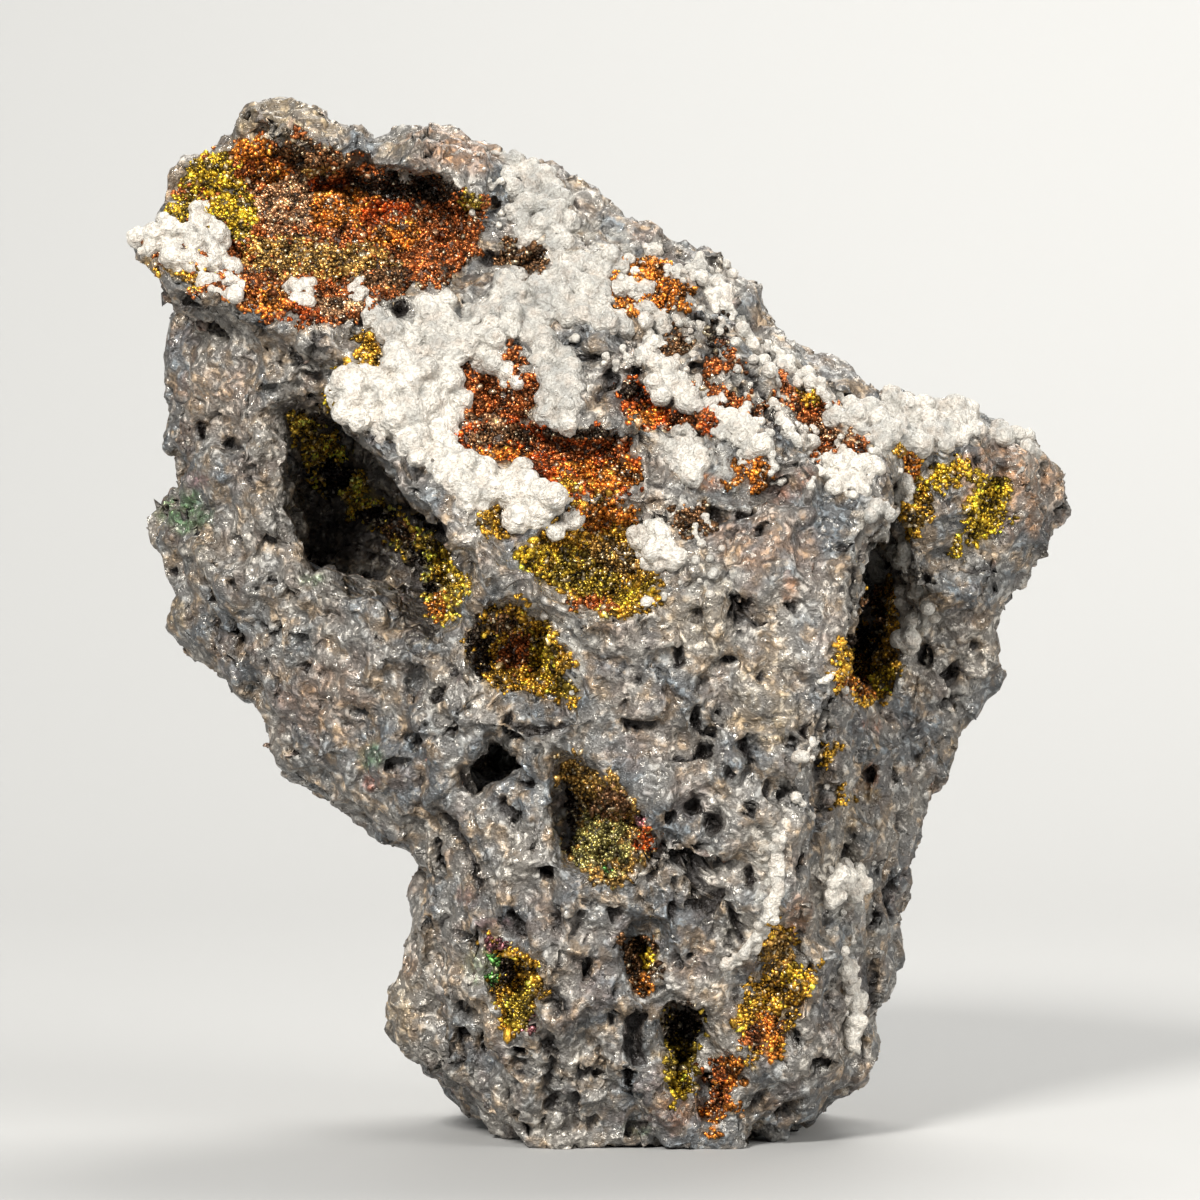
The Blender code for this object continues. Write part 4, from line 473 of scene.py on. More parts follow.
def within(across, up, outline):
    """Which of the places lie inside a closed outline."""
    inside = np.zeros(len(across), dtype=bool)
    for (a, b), (c, d) in zip(outline, outline[1:] + outline[:1]):
        if b != d:
            inside ^= ((b > up) != (d > up)) & (across < a + (up - b) / (d - b) * (c - a))
    return inside


def ellipse_share(across, up, centre_across, centre_up, half_width, half_height):
    """1 at the middle of an ellipse, 0 on its rim, less outside."""
    return 1 - ((across - centre_across) / half_width) ** 2 - ((up - centre_up) / half_height) ** 2


# Noise, the same in every run


def noise_at(places, size, seed, octaves=1):
    """Smooth noise from -1 to 1 at each place, its lumps about this many mm across. Seeds keep fields apart."""
    scaled = places / (size * MM) + np.array((7.1, 3.7, 5.3)) * seed
    if octaves == 1:
        return np.fromiter((noise.noise(spot) for spot in scaled.tolist()), float, len(scaled))
    return np.fromiter((noise.fractal(spot, 1.0, 2.0, octaves) for spot in scaled.tolist()), float, len(scaled))


def vector_noise(places, size, seed):
    """Smooth noise in three ways at once, one row of three for each place."""
    scaled = places / (size * MM) + np.array((3.3, 8.1, 1.9)) * seed
    ways = (scaled, scaled + (31.4, 7.9, 15.2), scaled + (11.3, 45.1, 27.6))
    return np.array([[noise.noise(spot) for spot in way.tolist()] for way in ways]).T


def cell_walls(places, size, seed, stretch):
    """For cells about this many mm across: how far each place lies inside its cell, and the cell's own number."""
    scaled = places / (size * MM) * np.array(stretch) + np.array((5.1, 2.7, 9.3)) * seed
    inside = np.empty(len(places))
    number = np.empty(len(places))
    for index, spot in enumerate(scaled.tolist()):
        distances, middles = noise.voronoi(spot)
        inside[index] = distances[1] - distances[0]
        number[index] = noise.cell(middles[0] * 7.31)
    return inside, number


def ridges(places, size, seed, stretch):
    """Crisp ridges about this many mm apart, from about -1 to 1."""
    scaled = places / (size * MM) * np.array(stretch) + np.array((1.7, 6.1, 4.3)) * seed
    values = [noise.ridged_multi_fractal(spot, 0.9, 2.1, 3, 1.0, 2.0) for spot in scaled.tolist()]
    return np.clip(np.array(values) - 1.1, -1.1, 1.4)


def wavered(places):
    """Where the eye sees places, moved a little at random so that a lining's edge is ragged."""
    across, up = seen_places(places)
    return across + 1.2 * noise_at(places, 1.5, 41, 3), up + 1.2 * noise_at(places, 1.5, 43, 3)


# Meshes


def read(items, field, width, kind=np.float32):
    """One field of a mesh's vertices, faces or attribute values, as a row of numbers for each."""
    values = np.empty(len(items) * width, dtype=kind)
    items.foreach_get(field, values)
    return values.reshape(-1, width)


def arrays_of(mesh):
    """The places and the normals of a mesh's vertices, one row each."""
    return read(mesh.vertices, "co", 3).astype(float), read(mesh.vertices, "normal", 3).astype(float)


def set_places(mesh, places):
    """Moves a mesh's vertices to new places."""
    mesh.vertices.foreach_set("co", places.astype(np.float32).ravel())
    mesh.update()


def add_attribute(mesh, name, kind, values):
    """Stores a value, or a row of values, for each vertex."""
    attribute = mesh.attributes.new(name, kind, "POINT")
    attribute.data.foreach_set(FIELDS[kind], np.asarray(values, dtype=np.float32).ravel())


def tree_of(mesh):
    """The tree that rays and nearest places on a mesh are found with."""
    return BVHTree.FromPolygons(arrays_of(mesh)[0].tolist(), [tuple(face.vertices) for face in mesh.polygons])


def finder_of(places):
    """The tree that the nearest of some places is found with."""
    finder = kdtree.KDTree(len(places))
    for index, place in enumerate(places.tolist()):
        finder.insert(place, index)
    finder.balance()
    return finder


def near_node(places, node, reach):
    """Which places lie within reach, in mm, of a node's solid."""
    low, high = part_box(node)
    margin = reach * MM
    inside = np.all((places > np.array(low) - margin) & (places < np.array(high) + margin), axis=1)
    tree = tree_of(NODES[node].data)
    near = np.zeros(len(places), dtype=bool)
    for index in np.nonzero(inside)[0]:
        near[index] = tree.find_nearest(places[index].tolist(), margin)[0] is not None
    return near


def select_only(obj):
    """Leaves one object selected and active."""
    bpy.ops.object.select_all(action="DESELECT")
    obj.select_set(True)
    bpy.context.view_layer.objects.active = obj


def apply_modifier(obj, kind, **values):
    """Adds a modifier with these values and applies it."""
    modifier = obj.modifiers.new(kind.title(), kind)
    for key, value in values.items():
        setattr(modifier, key, value)
    select_only(obj)
    bpy.ops.object.modifier_apply(modifier=modifier.name)


def copy_of_node(node, name):
    """A piece with a copy of a node's mesh, its doubled corners merged."""
    piece = bpy.data.objects.new(name, NODES[node].data.copy())
    bpy.context.scene.collection.objects.link(piece)
    select_only(piece)
    bpy.ops.object.mode_set(mode="EDIT")
    bpy.ops.mesh.select_all(action="SELECT")
    bpy.ops.mesh.remove_doubles(threshold=0.001 * MM)
    bpy.ops.mesh.normals_make_consistent(inside=False)
    bpy.ops.object.mode_set(mode="OBJECT")
    return piece


def settle(piece, material, slot, *nodes):
    """Dresses a finished piece, fixes it to the stone's body and hides what it stands for."""
    piece.data.materials.clear()
    piece.data.materials.append(material)
    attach(piece, "root")
    if nodes:
        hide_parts(*nodes)


# The stone


def shown_to_eye(places, normals, tree):
    """1 where the eye sees the surface, 0 where it is turned away or hidden."""
    towards = np.array(EYE) - places
    towards /= np.linalg.norm(towards, axis=1)[:, None]
    facing = np.einsum("ij,ij->i", towards, normals)
    shown = np.clip(facing * 4, 0, 1)
    starts = places + towards * VERTEX_CLEARANCE * MM
    for index in np.nonzero(shown > 0)[0]:
        if tree.ray_cast(starts[index].tolist(), towards[index].tolist())[0] is not None:
            shown[index] = 0
    return shown


def lined_share(places, shown):
    """1 where a hollow's crystals line the skin, 0 elsewhere, with a ragged edge between."""
    across, up = wavered(places)
    lined = np.zeros(len(places), dtype=bool)
    for node, (reach, _, outlines) in LININGS.items():
        lined |= near_node(places, node, reach) & ~shown
        for outline in outlines:
            lined |= within(across, up, outline) & shown
    for _, outline in SMALL_LININGS:
        lined |= within(across, up, outline) & shown
    return lined.astype(float)


def room_inside(places, normals, tree):
    """How thick the stone is under each place, in mm, up to what is thick enough for any pit."""
    room = np.full(len(places), THICK_ENOUGH)
    starts = places - normals * 0.05 * MM
    for index, (start, normal) in enumerate(zip(starts.tolist(), (-normals).tolist())):
        distance = tree.ray_cast(start, normal, THICK_ENOUGH * MM)[3]
        if distance is not None:
            room[index] = distance / MM
    return room


def warp_stone(places, settings):
    """Shifts the skin every way, so that no hollow or ledge keeps an even edge."""
    coarse = vector_noise(places, 3.6, 2) * settings.warp
    fine = vector_noise(places, 1.4, 5) * settings.warp * 0.45 + vector_noise(places, 0.8, 6) * settings.warp * 0.12
    return places + coarse + fine


def growth(places):
    """How much the stone grew upright and in bands at each place, and the places turned along the bands."""
    across, up = seen_places(places)
    trunk = np.clip((TRUNK_TOP - up) / TRUNK_TOP_FADE, 0, 1)
    trunk *= np.clip((across - TRUNK_LEFT) / TRUNK_LEFT_FADE, 0, 1)
    bands = np.clip((up - BANDS_FOOT) / BANDS_FOOT_FADE, 0, 1)
    bands *= np.clip((across - BANDS_LEFT) / BANDS_LEFT_FADE, 0, 1)
    angle = math.radians(BANDS_SLANT)
    turned = places.copy()
    turned[:, 0] = places[:, 0] * math.cos(angle) - places[:, 2] * math.sin(angle)
    turned[:, 2] = places[:, 0] * math.sin(angle) + places[:, 2] * math.cos(angle)
    return trunk, bands, turned


def raised(places, lined, settings):
    """How far the skin rises at each place, in mm: broad lumps, and crisp creases drawn out as the stone grew."""
    trunk, bands, turned = growth(places)
    rise = settings.broad_rise / MM * noise_at(places, 5.0, 3, 3)
    rise += lined * (0.75 * noise_at(places, 1.7, 35, 3) + 0.3 * noise_at(places, 0.7, 36))
    for size, height, seed in ((2.4, settings.crease_rise, 11), (1.0, settings.grain_rise, 23)):
        plain = ridges(places, size, seed, EVERY_WAY)
        upright = ridges(places, size, seed + 1, UPRIGHT_RIDGES)
        slanted = ridges(turned, size, seed + 2, SLANTED_RIDGES)
        rise += height / MM * ((plain * (1 - trunk) + upright * trunk) * (1 - bands) + slanted * bands)
    return rise


def sunk_by_cells(places, lined, room, settings):
    """How far the skin is sunk by open cells at each place, in mm. Some parts of the stone have few of them."""
    trunk, bands, turned = growth(places)
    warped = places + vector_noise(places, 1.2, 8) * 0.8 * MM
    warped_turned = turned + vector_noise(places, 1.2, 9) * 0.8 * MM
    calm = np.clip(0.4 + 1.1 * noise_at(places, 8, 12), 0.05, 1) * (1 - 0.7 * lined)
    behind = np.clip(places[:, 1] / (4 * MM), 0, 1)
    ways = (
        (warped, EVERY_WAY, (1 - trunk) * (1 - bands)), (warped, UPRIGHT_CELLS, trunk),
        (warped_turned, SLANTED_CELLS, bands),
    )
    sunk = np.zeros(len(places))
    for size, share, depth, seed, only_behind in OPEN_CELLS:
        for field, stretch, weight in ways:
            where = np.nonzero(weight > 0.02)[0]
            inside, number = cell_walls(field[where], size, seed, stretch)
            open_share = share * np.clip(calm[where] * 1.4, 0, 1)
            if only_behind:
                open_share *= behind[where]
            open_cell = number * 0.5 + 0.5 > 1 - open_share
            cup = np.clip((inside - CELL_WALL) / CELL_WALL, 0, 1)
            sunk[where] += open_cell * cup * (0.5 + 0.5 * np.abs(number)) * depth * weight[where]
    return np.minimum(sunk * settings.cell_depth, DEEPEST_CELL * room)


def pits_by_hand(mesh, places):
    """The listed pits that the eye finds, as (vertex index, half width, half height, tilt, depth)."""
    tree = tree_of(mesh)
    finder = finder_of(places)
    pits = []
    for across, up, half_width, half_height, tilt, depth in PITS:
        spot = tree.ray_cast(EYE, seen(across, up))[0]
        if spot is not None:
            pits.append((finder.find(spot)[1], half_width, half_height, tilt, depth))
    return pits


def seeded_pits(places, settings):
    """Pits drawn at random in the same form: long and upright on the trunk, rounder and fewer elsewhere."""
    draw = random.Random(settings.seed)
    across, up = seen_places(places)
    pits = []
    for _ in range(settings.pore_count):
        index = draw.randrange(len(places))
        trunk = up[index] < TRUNK_TOP - 2 and across[index] > TRUNK_LEFT + 4
        if not trunk and draw.random() < 0.5:
            continue
        size = draw.uniform(0.2, 0.5) * (1.5 if draw.random() < 0.1 else 1)
        longer = draw.uniform(1.4, 3.2) if trunk else draw.uniform(0.9, 1.6)
        tilt = draw.gauss(0, 14) if trunk else draw.uniform(-90, 90)
        pits.append((index, size, size * longer, tilt, size * draw.uniform(1.4, 2.6)))
    return pits


def pit_ways(normal, tilt):
    """The directions across and along a pit that lies in the skin, tilted by so many degrees."""
    side = np.cross((0, 0, 1), normal)
    if np.linalg.norm(side) < 0.2:
        side = np.cross((0, 1, 0), normal)
    side /= np.linalg.norm(side)
    above = np.cross(normal, side)
    turn = math.radians(tilt)
    return side * math.cos(turn) - above * math.sin(turn), above * math.cos(turn) + side * math.sin(turn)


def press_pits(places, normals, pits, deepest):
    """Presses each pit in along its own middle normal. Returns the new places and how deep each vertex lies."""
    finder = finder_of(places)
    wobble = noise_at(places, 0.9, 17)
    push = np.zeros(len(places))
    direction = normals.copy()
    for middle, half_width, half_height, tilt, depth in pits:
        centre = places[middle]
        normal = normals[middle]
        found = finder.find_range(centre.tolist(), max(half_width, half_height) * PIT_REACH * MM)
        if len(found) < 3:
            continue
        near = np.array([item[1] for item in found])
        near = near[normals[near] @ normal > 0.15]
        short_way, long_way = pit_ways(normal, tilt)
        offset = (places[near] - centre) / MM
        share = np.hypot(offset @ short_way / half_width, offset @ long_way / half_height) + 0.35 * wobble[near]
        inner = np.clip(1 - share ** 2, 0, 1) ** 0.7 * depth
        deeper = inner > push[near]
        push[near] = np.where(deeper, inner, push[near])
        leaning = PIT_LEAN * normal + (1 - PIT_LEAN) * direction[near]
        direction[near] = np.where(deeper[:, None], leaning, direction[near])
    direction /= np.linalg.norm(direction, axis=1)[:, None]
    push = np.clip(push, 0, np.maximum(deepest, 0))
    return places - direction * push[:, None] * MM, push


def press_grooves(places, normals, shown):
    """Presses each groove in where the eye sees it. Returns the new places and the depths."""
    across, up = seen_places(places)
    across = across + 0.5 * noise_at(places, 1.8, 45, 2)
    up = up + 0.5 * noise_at(places, 1.8, 46, 2)
    depth = np.zeros(len(places))
    for width, deepest, points in GROOVES:
        for (a, b), (c, d) in zip(points, points[1:]):
            length = math.hypot(c - a, d - b)
            along = np.clip(((across - a) * (c - a) + (up - b) * (d - b)) / length ** 2, 0, 1)
            apart = np.hypot(across - a - along * (c - a), up - b - along * (d - b))
            depth = np.maximum(depth, deepest * np.exp(-(apart / width) ** 2) * shown)
    depth *= 0.65 + 0.7 * np.clip(noise_at(places, 2.6, 47), -0.6, 0.6)
    return places - normals * depth[:, None] * MM, depth


def lay_stain(stain_and_cave_shade, colour, share):
    """Lays a colour wherever its share is more than that of the stain laid before."""
    more = share > stain_and_cave_shade[:, 3]
    stain_and_cave_shade[more, :3] = colour
    stain_and_cave_shade[more, 3] = share[more]


def stains_and_cave_shade_on(places, across, up, shown, lined):
    """The skin's stains and the cave's painted shade, as rows of a colour and how strongly it is laid."""
    ragged = 0.5 * noise_at(places, 1.6, 41, 2)
    flecks = np.clip(0.8 + 1.2 * noise_at(places, 0.8, 48, 2), 0.35, 1)
    stain_and_cave_shade = np.zeros((len(places), 4))
    stain_and_cave_shade[:, :3] = SAND
    for colour, *ellipse, strength in STONE_STAINS:
        share = np.clip((ellipse_share(across, up, *ellipse) + 1.6 * ragged) * 1.2, 0, 1) * strength * shown
        lay_stain(stain_and_cave_shade, colour, share * flecks)
    for colour, seed in BACK_STAINS:
        share = np.clip(noise_at(places, 7, seed, 3) * 3 - 0.8, 0, 1) * (1 - shown) * 0.6
        lay_stain(stain_and_cave_shade, colour, share * flecks)
    # Near-black painted as shade inside the deep cave
    cave = within(across + ragged, up + ragged, CAVE) & (shown > 0)
    stain_and_cave_shade[cave] = (*CAVE_PAINTED_SHADE, 0.85)
    linings = [(node, reach, default, outlines, 5) for node, (reach, default, outlines) in LININGS.items()]
    linings += [(None, 0, default, [outline], 6) for default, outline in SMALL_LININGS]
    for node, reach, default, outlines, seed in linings:
        mine = near_node(places, node, reach) if node else np.zeros(len(places), dtype=bool)
        for outline in outlines:
            mine |= within(across, up, outline)
        mine &= lined > 0
        if mine.any():
            stain_and_cave_shade[mine, :3] = colours_of(places[mine], default, seed, 0.15) * 0.4
    stain_and_cave_shade[lined > 0, 3] = 0.95
    return stain_and_cave_shade


def dust_on(places, across, up, shown, lined):
    """How thickly white dust lies on the skin: where the photograph shows it, and in patches behind."""
    dust = np.zeros(len(places))
    speckle = noise_at(places, 0.9, 51, 3) + 0.15
    for *ellipse, strength in WHITE_DUST:
        share = np.clip(ellipse_share(across, up, *ellipse) * 2, 0, 1) * strength * shown
        dust = np.maximum(dust, np.clip(speckle * 2.5, 0, 1) * share)
    elsewhere = np.clip(noise_at(places, 6, 61, 3) * 3 - 1.1, 0, 1) * np.clip(speckle * 2, 0, 1)
    return np.maximum(dust, elsewhere * (1 - shown) * 0.5) * (1 - lined)


def paint_stone(mesh, depth, lined):
    """Stores painted shade by how deep the skin is pitted, its stains with the cave's painted shade, and its dust."""
    places, normals = arrays_of(mesh)
    shown = shown_to_eye(places, normals, tree_of(mesh))
    across, up = seen_places(places)
    # Painted shade in pits, grooves and open cells, by how deep they are
    add_attribute(mesh, "pit_shade", "FLOAT", np.clip(depth / 1.1, 0, 1) * (1 - 0.5 * lined))
    add_attribute(mesh, "stain_and_cave_shade", "FLOAT_COLOR", stains_and_cave_shade_on(places, across, up, shown, lined))
    add_attribute(mesh, "dust", "FLOAT", dust_on(places, across, up, shown, lined))


def part_stone(piece, settings):
    """Parts the skin into a front and a back piece that meet edge to edge, with the whole skin's normals."""
    mesh = piece.data
    add_attribute(mesh, "whole_normal", "FLOAT_VECTOR", arrays_of(mesh)[1])
    select_only(piece)
    bpy.ops.object.mode_set(mode="EDIT")
    bpy.ops.mesh.select_all(action="DESELECT")
    bpy.ops.object.mode_set(mode="OBJECT")
    mesh.polygons.foreach_set("select", read(mesh.polygons, "center", 3)[:, 1] > settings.parting)
    bpy.ops.object.mode_set(mode="EDIT")
    bpy.ops.mesh.separate(type="SELECTED")
    bpy.ops.object.mode_set(mode="OBJECT")
    back = next(obj for obj in bpy.context.selected_objects if obj is not piece)
    back.name = "stone_back"
    for part in (piece, back):
        count = sum(len(face.vertices) - 2 for face in part.data.polygons)
        if count > settings.triangles:
            raise RuntimeError(f"{part.name} has {count} triangles, more than {settings.triangles}")
        select_only(part)
        bpy.ops.object.shade_smooth()
        whole = read(part.data.attributes["whole_normal"].data, "vector", 3)
        part.data.normals_split_custom_set_from_vertices(whole.tolist())
        part.data.attributes.remove(part.data.attributes["whole_normal"])
    return piece, back


def make_stone(settings):
    """The skin of the whole stone in one mesh, shaped and painted, and parted into front and back at the end."""
    piece = copy_of_node("stone", "stone_front")
    apply_modifier(piece, "SUBSURF", levels=1, render_levels=1)
    apply_modifier(piece, "REMESH", mode="VOXEL", voxel_size=settings.voxel)
    apply_modifier(piece, "SMOOTH", factor=0.5, iterations=3)
    mesh = piece.data
    places, _ = arrays_of(mesh)
    set_places(mesh, warp_stone(places, settings))
    places, normals = arrays_of(mesh)
    tree = tree_of(mesh)
    shown = shown_to_eye(places, normals, tree)
    lined = lined_share(places, shown > 0)
    room = room_inside(places, normals, tree)
    sunk = sunk_by_cells(places, lined, room, settings)
    set_places(mesh, places + normals * (raised(places, lined, settings) - sunk)[:, None] * MM)
    places, normals = arrays_of(mesh)
    pits = pits_by_hand(mesh, places) + seeded_pits(places, settings)
    places, push = press_pits(places, normals, pits, DEEPEST_PIT * room - sunk)
    places, groove = press_grooves(places, normals, shown)
    places[:, 2] = np.maximum(places[:, 2], 0)
    set_places(mesh, places)
    paint_stone(mesh, push + groove + 0.6 * sunk, lined)
    return part_stone(piece, settings)


# Grains and balls, each a small shape repeated over the stone


def stone_mesh():
    """Both halves of the stone's skin as one mesh, for sampling."""
    meshes = [bpy.data.objects[name].data for name in ("stone_front", "stone_back")]
    places = [arrays_of(mesh)[0] for mesh in meshes]
    faces = [[corner + offset for corner in face.vertices] for mesh, offset in zip(meshes, (0, len(places[0])))
             for face in mesh.polygons]
    whole = bpy.data.meshes.new("whole_skin")
    whole.from_pydata(np.concatenate(places).tolist(), [], faces)
    for name, kind, width in ATTRIBUTES:
        values = [read(mesh.attributes[name].data, FIELDS[kind], width) for mesh in meshes]
        add_attribute(whole, name, kind, np.concatenate(values))
    whole.calc_loop_triangles()
    return whole


def corners_of_triangles(stone):
    """The places of each triangle's three corners."""
    return arrays_of(stone)[0][read(stone.loop_triangles, "vertices", 3, np.int32)]


def shown_triangles(stone, middles):
    """Which triangles the eye sees, by their middles."""
    tree = tree_of(stone)
    towards = np.array(EYE) - middles
    distance = np.linalg.norm(towards, axis=1)
    shown = np.zeros(len(middles), dtype=bool)
    for index in range(len(middles)):
        hit = tree.ray_cast(EYE, (-towards[index]).tolist())[3]
        shown[index] = hit is not None and hit > distance[index] - TRIANGLE_SLACK * MM
    return shown


def scattered(stone, chosen, spacing, seed):
    """Random places on the chosen triangles, about a spacing apart, with their normals."""
    corners = corners_of_triangles(stone)[chosen]
    cross = np.cross(corners[:, 1] - corners[:, 0], corners[:, 2] - corners[:, 0])
    areas = np.linalg.norm(cross, axis=1) / 2
    draw = np.random.default_rng(seed)
    count = int(areas.sum() / (spacing * spacing) * 2.2)
    if count == 0:
        return np.zeros((0, 3)), np.zeros((0, 3))
    picked = draw.choice(len(areas), size=count, p=areas / areas.sum())
    first = np.sqrt(draw.random(count))[:, None]
    second = draw.random(count)[:, None]
    trio = corners[picked]
    spots = (1 - first) * trio[:, 0] + first * (1 - second) * trio[:, 1] + first * second * trio[:, 2]
    normals = cross[picked] / (2 * areas[picked])[:, None]
    taken = {}
    for index, cell in enumerate(np.floor(spots / (spacing * 0.8)).astype(int).tolist()):
        taken.setdefault(tuple(cell), index)
    kept = list(taken.values())
    return spots[kept], normals[kept]


def crystal_shape():
    """A small eight-sided crystal with uneven faces."""
    bpy.ops.mesh.primitive_uv_sphere_add(segments=4, ring_count=2, radius=0.6)
    bpy.ops.object.mode_set(mode="EDIT")
    bpy.ops.transform.vertex_random(offset=0.12, seed=7)
    bpy.ops.object.mode_set(mode="OBJECT")


def chip_shape():
    """A broken eight-sided chip."""
    bpy.ops.mesh.primitive_uv_sphere_add(segments=4, ring_count=2, radius=0.5)


def ball_shape():
    """A ball that is fused with others."""
    bpy.ops.mesh.primitive_ico_sphere_add(subdivisions=3, radius=1.0)


def template(add_shape):
    """The corners and faces of a small shape, which is taken away again."""
    bpy.ops.object.select_all(action="DESELECT")
    add_shape()
    obj = bpy.context.object
    mesh = obj.data
    corners = np.array([vert.co[:] for vert in mesh.vertices])
    faces = [list(face.vertices) for face in mesh.polygons]
    bpy.data.objects.remove(obj, do_unlink=True)
    bpy.data.meshes.remove(mesh)
    return corners, faces


def turned_frames(normals, tilt, draw):
    """One set of three axes for each normal, tipped at random and turned about it."""
    count = len(normals)
    third = normals + draw.normal(0, tilt, (count, 3))
    third /= np.linalg.norm(third, axis=1)[:, None]
    helper = draw.normal(0, 1, (count, 3))
    first = np.cross(third, helper)
    first /= np.linalg.norm(first, axis=1)[:, None]
    return np.stack((first, np.cross(third, first), third), axis=1)


def joined_copies(name, shape, centres, frames, sizes):
    """One piece with a copy of the shape at each centre, along its own axes and at its own size."""
    corners, faces = shape
    scaled = corners[None, :, :] * sizes[:, None, :]
    moved = np.einsum("nvk,nkj->nvj", scaled, frames) + centres[:, None, :]
    numbers = np.arange(len(centres))[:, None]
    loops = numbers * len(corners) + np.array([corner for face in faces for corner in face])[None, :]
    starts = numbers * loops.shape[1] + np.cumsum([0] + [len(face) for face in faces[:-1]])[None, :]
    mesh = bpy.data.meshes.new(name)
    mesh.vertices.add(len(centres) * len(corners))
    mesh.vertices.foreach_set("co", moved.astype(np.float32).ravel())
    mesh.loops.add(loops.size)
    mesh.loops.foreach_set("vertex_index", loops.astype(np.int32).ravel())
    mesh.polygons.add(starts.size)
    mesh.polygons.foreach_set("loop_start", starts.astype(np.int32).ravel())
    mesh.update(calc_edges=True)
    mesh.validate()
    piece = bpy.data.objects.new(name, mesh)
    bpy.context.scene.collection.objects.link(piece)
    return piece


def colours_of(centres, default, seed, spread=0.32):
    """Each grain's colour: the strongest spot of colour it lies in, else the default, each a little its own."""
    across, up = seen_places(centres)
    draw = np.random.default_rng(seed)
    ragged = 1.1 * noise_at(centres, 1.6, 71, 3) + draw.normal(0, 0.35, len(centres))
    best = np.full(len(centres), 0.08)
    colours = np.tile(np.array(default), (len(centres), 1))
    for colour, *ellipse, strength in COLOUR_SPOTS:
        share = (ellipse_share(across, up, *ellipse) + ragged) * strength
        more = share > best
        best[more] = share[more]
        colours[more] = colour
    light = np.exp(draw.normal(0, spread, len(centres)))
    pale = draw.random(len(centres)) < 0.3 * spread
    dark = draw.random(len(centres)) < 0.6 * spread
    light[dark] *= 0.35
    light *= np.clip(1 + 1.5 * noise_at(centres, 1.1, 77, 2), 0.2, 1.8)
    colours = colours * light[:, None]
    colours[pale] = colours[pale] * 0.5 + np.array(PALE_GRAIN)
    return np.clip(colours, 0, 0.95)


def grains_on(name, stone, chosen, default, shape, settings, seed):
    """One crust of crystals on the chosen triangles, each crystal with a size, a lean and a colour of its own."""
    spots, normals = scattered(stone, chosen, settings.spacing, seed)
    draw = np.random.default_rng(seed + 100)
    count = len(spots)
    size = settings.grain * np.exp(draw.normal(0, 0.25, count))
    sizes = np.stack([size * draw.uniform(low, high, count) for low, high in GRAIN_SIDES], axis=1)
    frames = turned_frames(normals, settings.tilt, draw)
    piece = joined_copies(name, shape, spots + normals * (0.2 * size)[:, None], frames, sizes)
    tint = np.ones((count, len(shape[0]), 4))
    tint[:, :, :3] = colours_of(spots, default, seed + 200)[:, None, :]
    add_attribute(piece.data, "tint", "FLOAT_COLOR", tint)
    return piece


# The white crusts


def spots_in(outline, spacing, draw):
    """Places spread over an outline, row by row, each moved a little at random."""
    across = [point[0] for point in outline]
    up = [point[1] for point in outline]
    spots = []
    for row in range(int((max(up) - min(up)) / (spacing * ROW_HEIGHT)) + 2):
        for column in range(int((max(across) - min(across)) / spacing) + 2):
            spot = (
                min(across) + (column + 0.5 * (row % 2) + draw.uniform(-0.3, 0.3)) * spacing,
                min(up) + (row * ROW_HEIGHT + draw.uniform(-0.3, 0.3)) * spacing,
            )
            if within(np.array([spot[0]]), np.array([spot[1]]), outline)[0]:
                spots.append(spot)
    return spots


def any_way(draw):
    """A random arrow, pointing any way."""
    return Vector((draw.gauss(0, 1), draw.gauss(0, 1), draw.gauss(0, 1)))


def fused_balls(name, balls, shape, settings, seed):
    """One crust from balls, each given as its middle, its radius in mm and how grey it is."""
    centres = np.array([ball[0][:] for ball in balls])
    sizes = np.array([ball[1] for ball in balls])[:, None] * np.ones(3) * MM
    frames = np.tile(np.identity(3), (len(balls), 1, 1))
    piece = joined_copies(name, shape, centres, frames, sizes)
    apply_modifier(piece, "REMESH", mode="VOXEL", voxel_size=settings.voxel)
    apply_modifier(piece, "SMOOTH", factor=0.5, iterations=1)
    mesh = piece.data
    places, normals = arrays_of(mesh)
    rise = 0.07 * noise_at(places, 0.6, seed, 2) + 0.05 * noise_at(places, 0.28, seed + 7)
    places = places + normals * rise[:, None] * MM
    places[:, 2] = np.maximum(places[:, 2], 0)
    set_places(mesh, places)
    finder = finder_of(centres)
    own = np.array([balls[finder.find(place)[1]][2] for place in places.tolist()])
    add_attribute(mesh, "greyness", "FLOAT", np.clip(own + 0.5 * noise_at(places, 2.4, 81, 2), 0, 1))
    select_only(piece)
    bpy.ops.object.shade_smooth()
    return piece


def make_white_crust(node, tree, shape, settings, seed):
    """Balls side by side wherever the outlines are seen on the stone, each with smaller balls on it, fused."""
    radius, spacing, greyness, outlines = WHITE_CRUSTS[node]
    draw = random.Random(seed)
    balls = []
    for number, outline in enumerate(outlines):
        grey = greyness[min(number, len(greyness) - 1)]
        for across, up in spots_in(outline, spacing * FILLING, draw):
            spot, normal, _, _ = tree.ray_cast(EYE, seen(across, up))
            if spot is not None:
                balls.append((spot + normal * draw.uniform(-0.2, 0.1) * MM, radius * draw.uniform(0.4, 0.6), grey))
        for across, up in spots_in(outline, spacing, draw):
            spot, normal, _, _ = tree.ray_cast(EYE, seen(across, up))
            if spot is None:
                continue
            size = radius * draw.uniform(0.65, 1.15)
            middle = spot + normal * size * (draw.uniform(0.15, 0.6) - 0.7 * grey) * MM
            balls.append((middle, size, grey * draw.uniform(0.4, 1.2)))
            for _ in range(settings.buds):
                way = (any_way(draw).normalized() + normal * 0.6).normalized()
                balls.append((middle + way * size * 0.86 * MM, size * draw.uniform(0.2, 0.34), grey))
    name = node.removeprefix("white_crust_") + "_white_crust"
    return fused_balls(name, balls, shape, settings, seed)


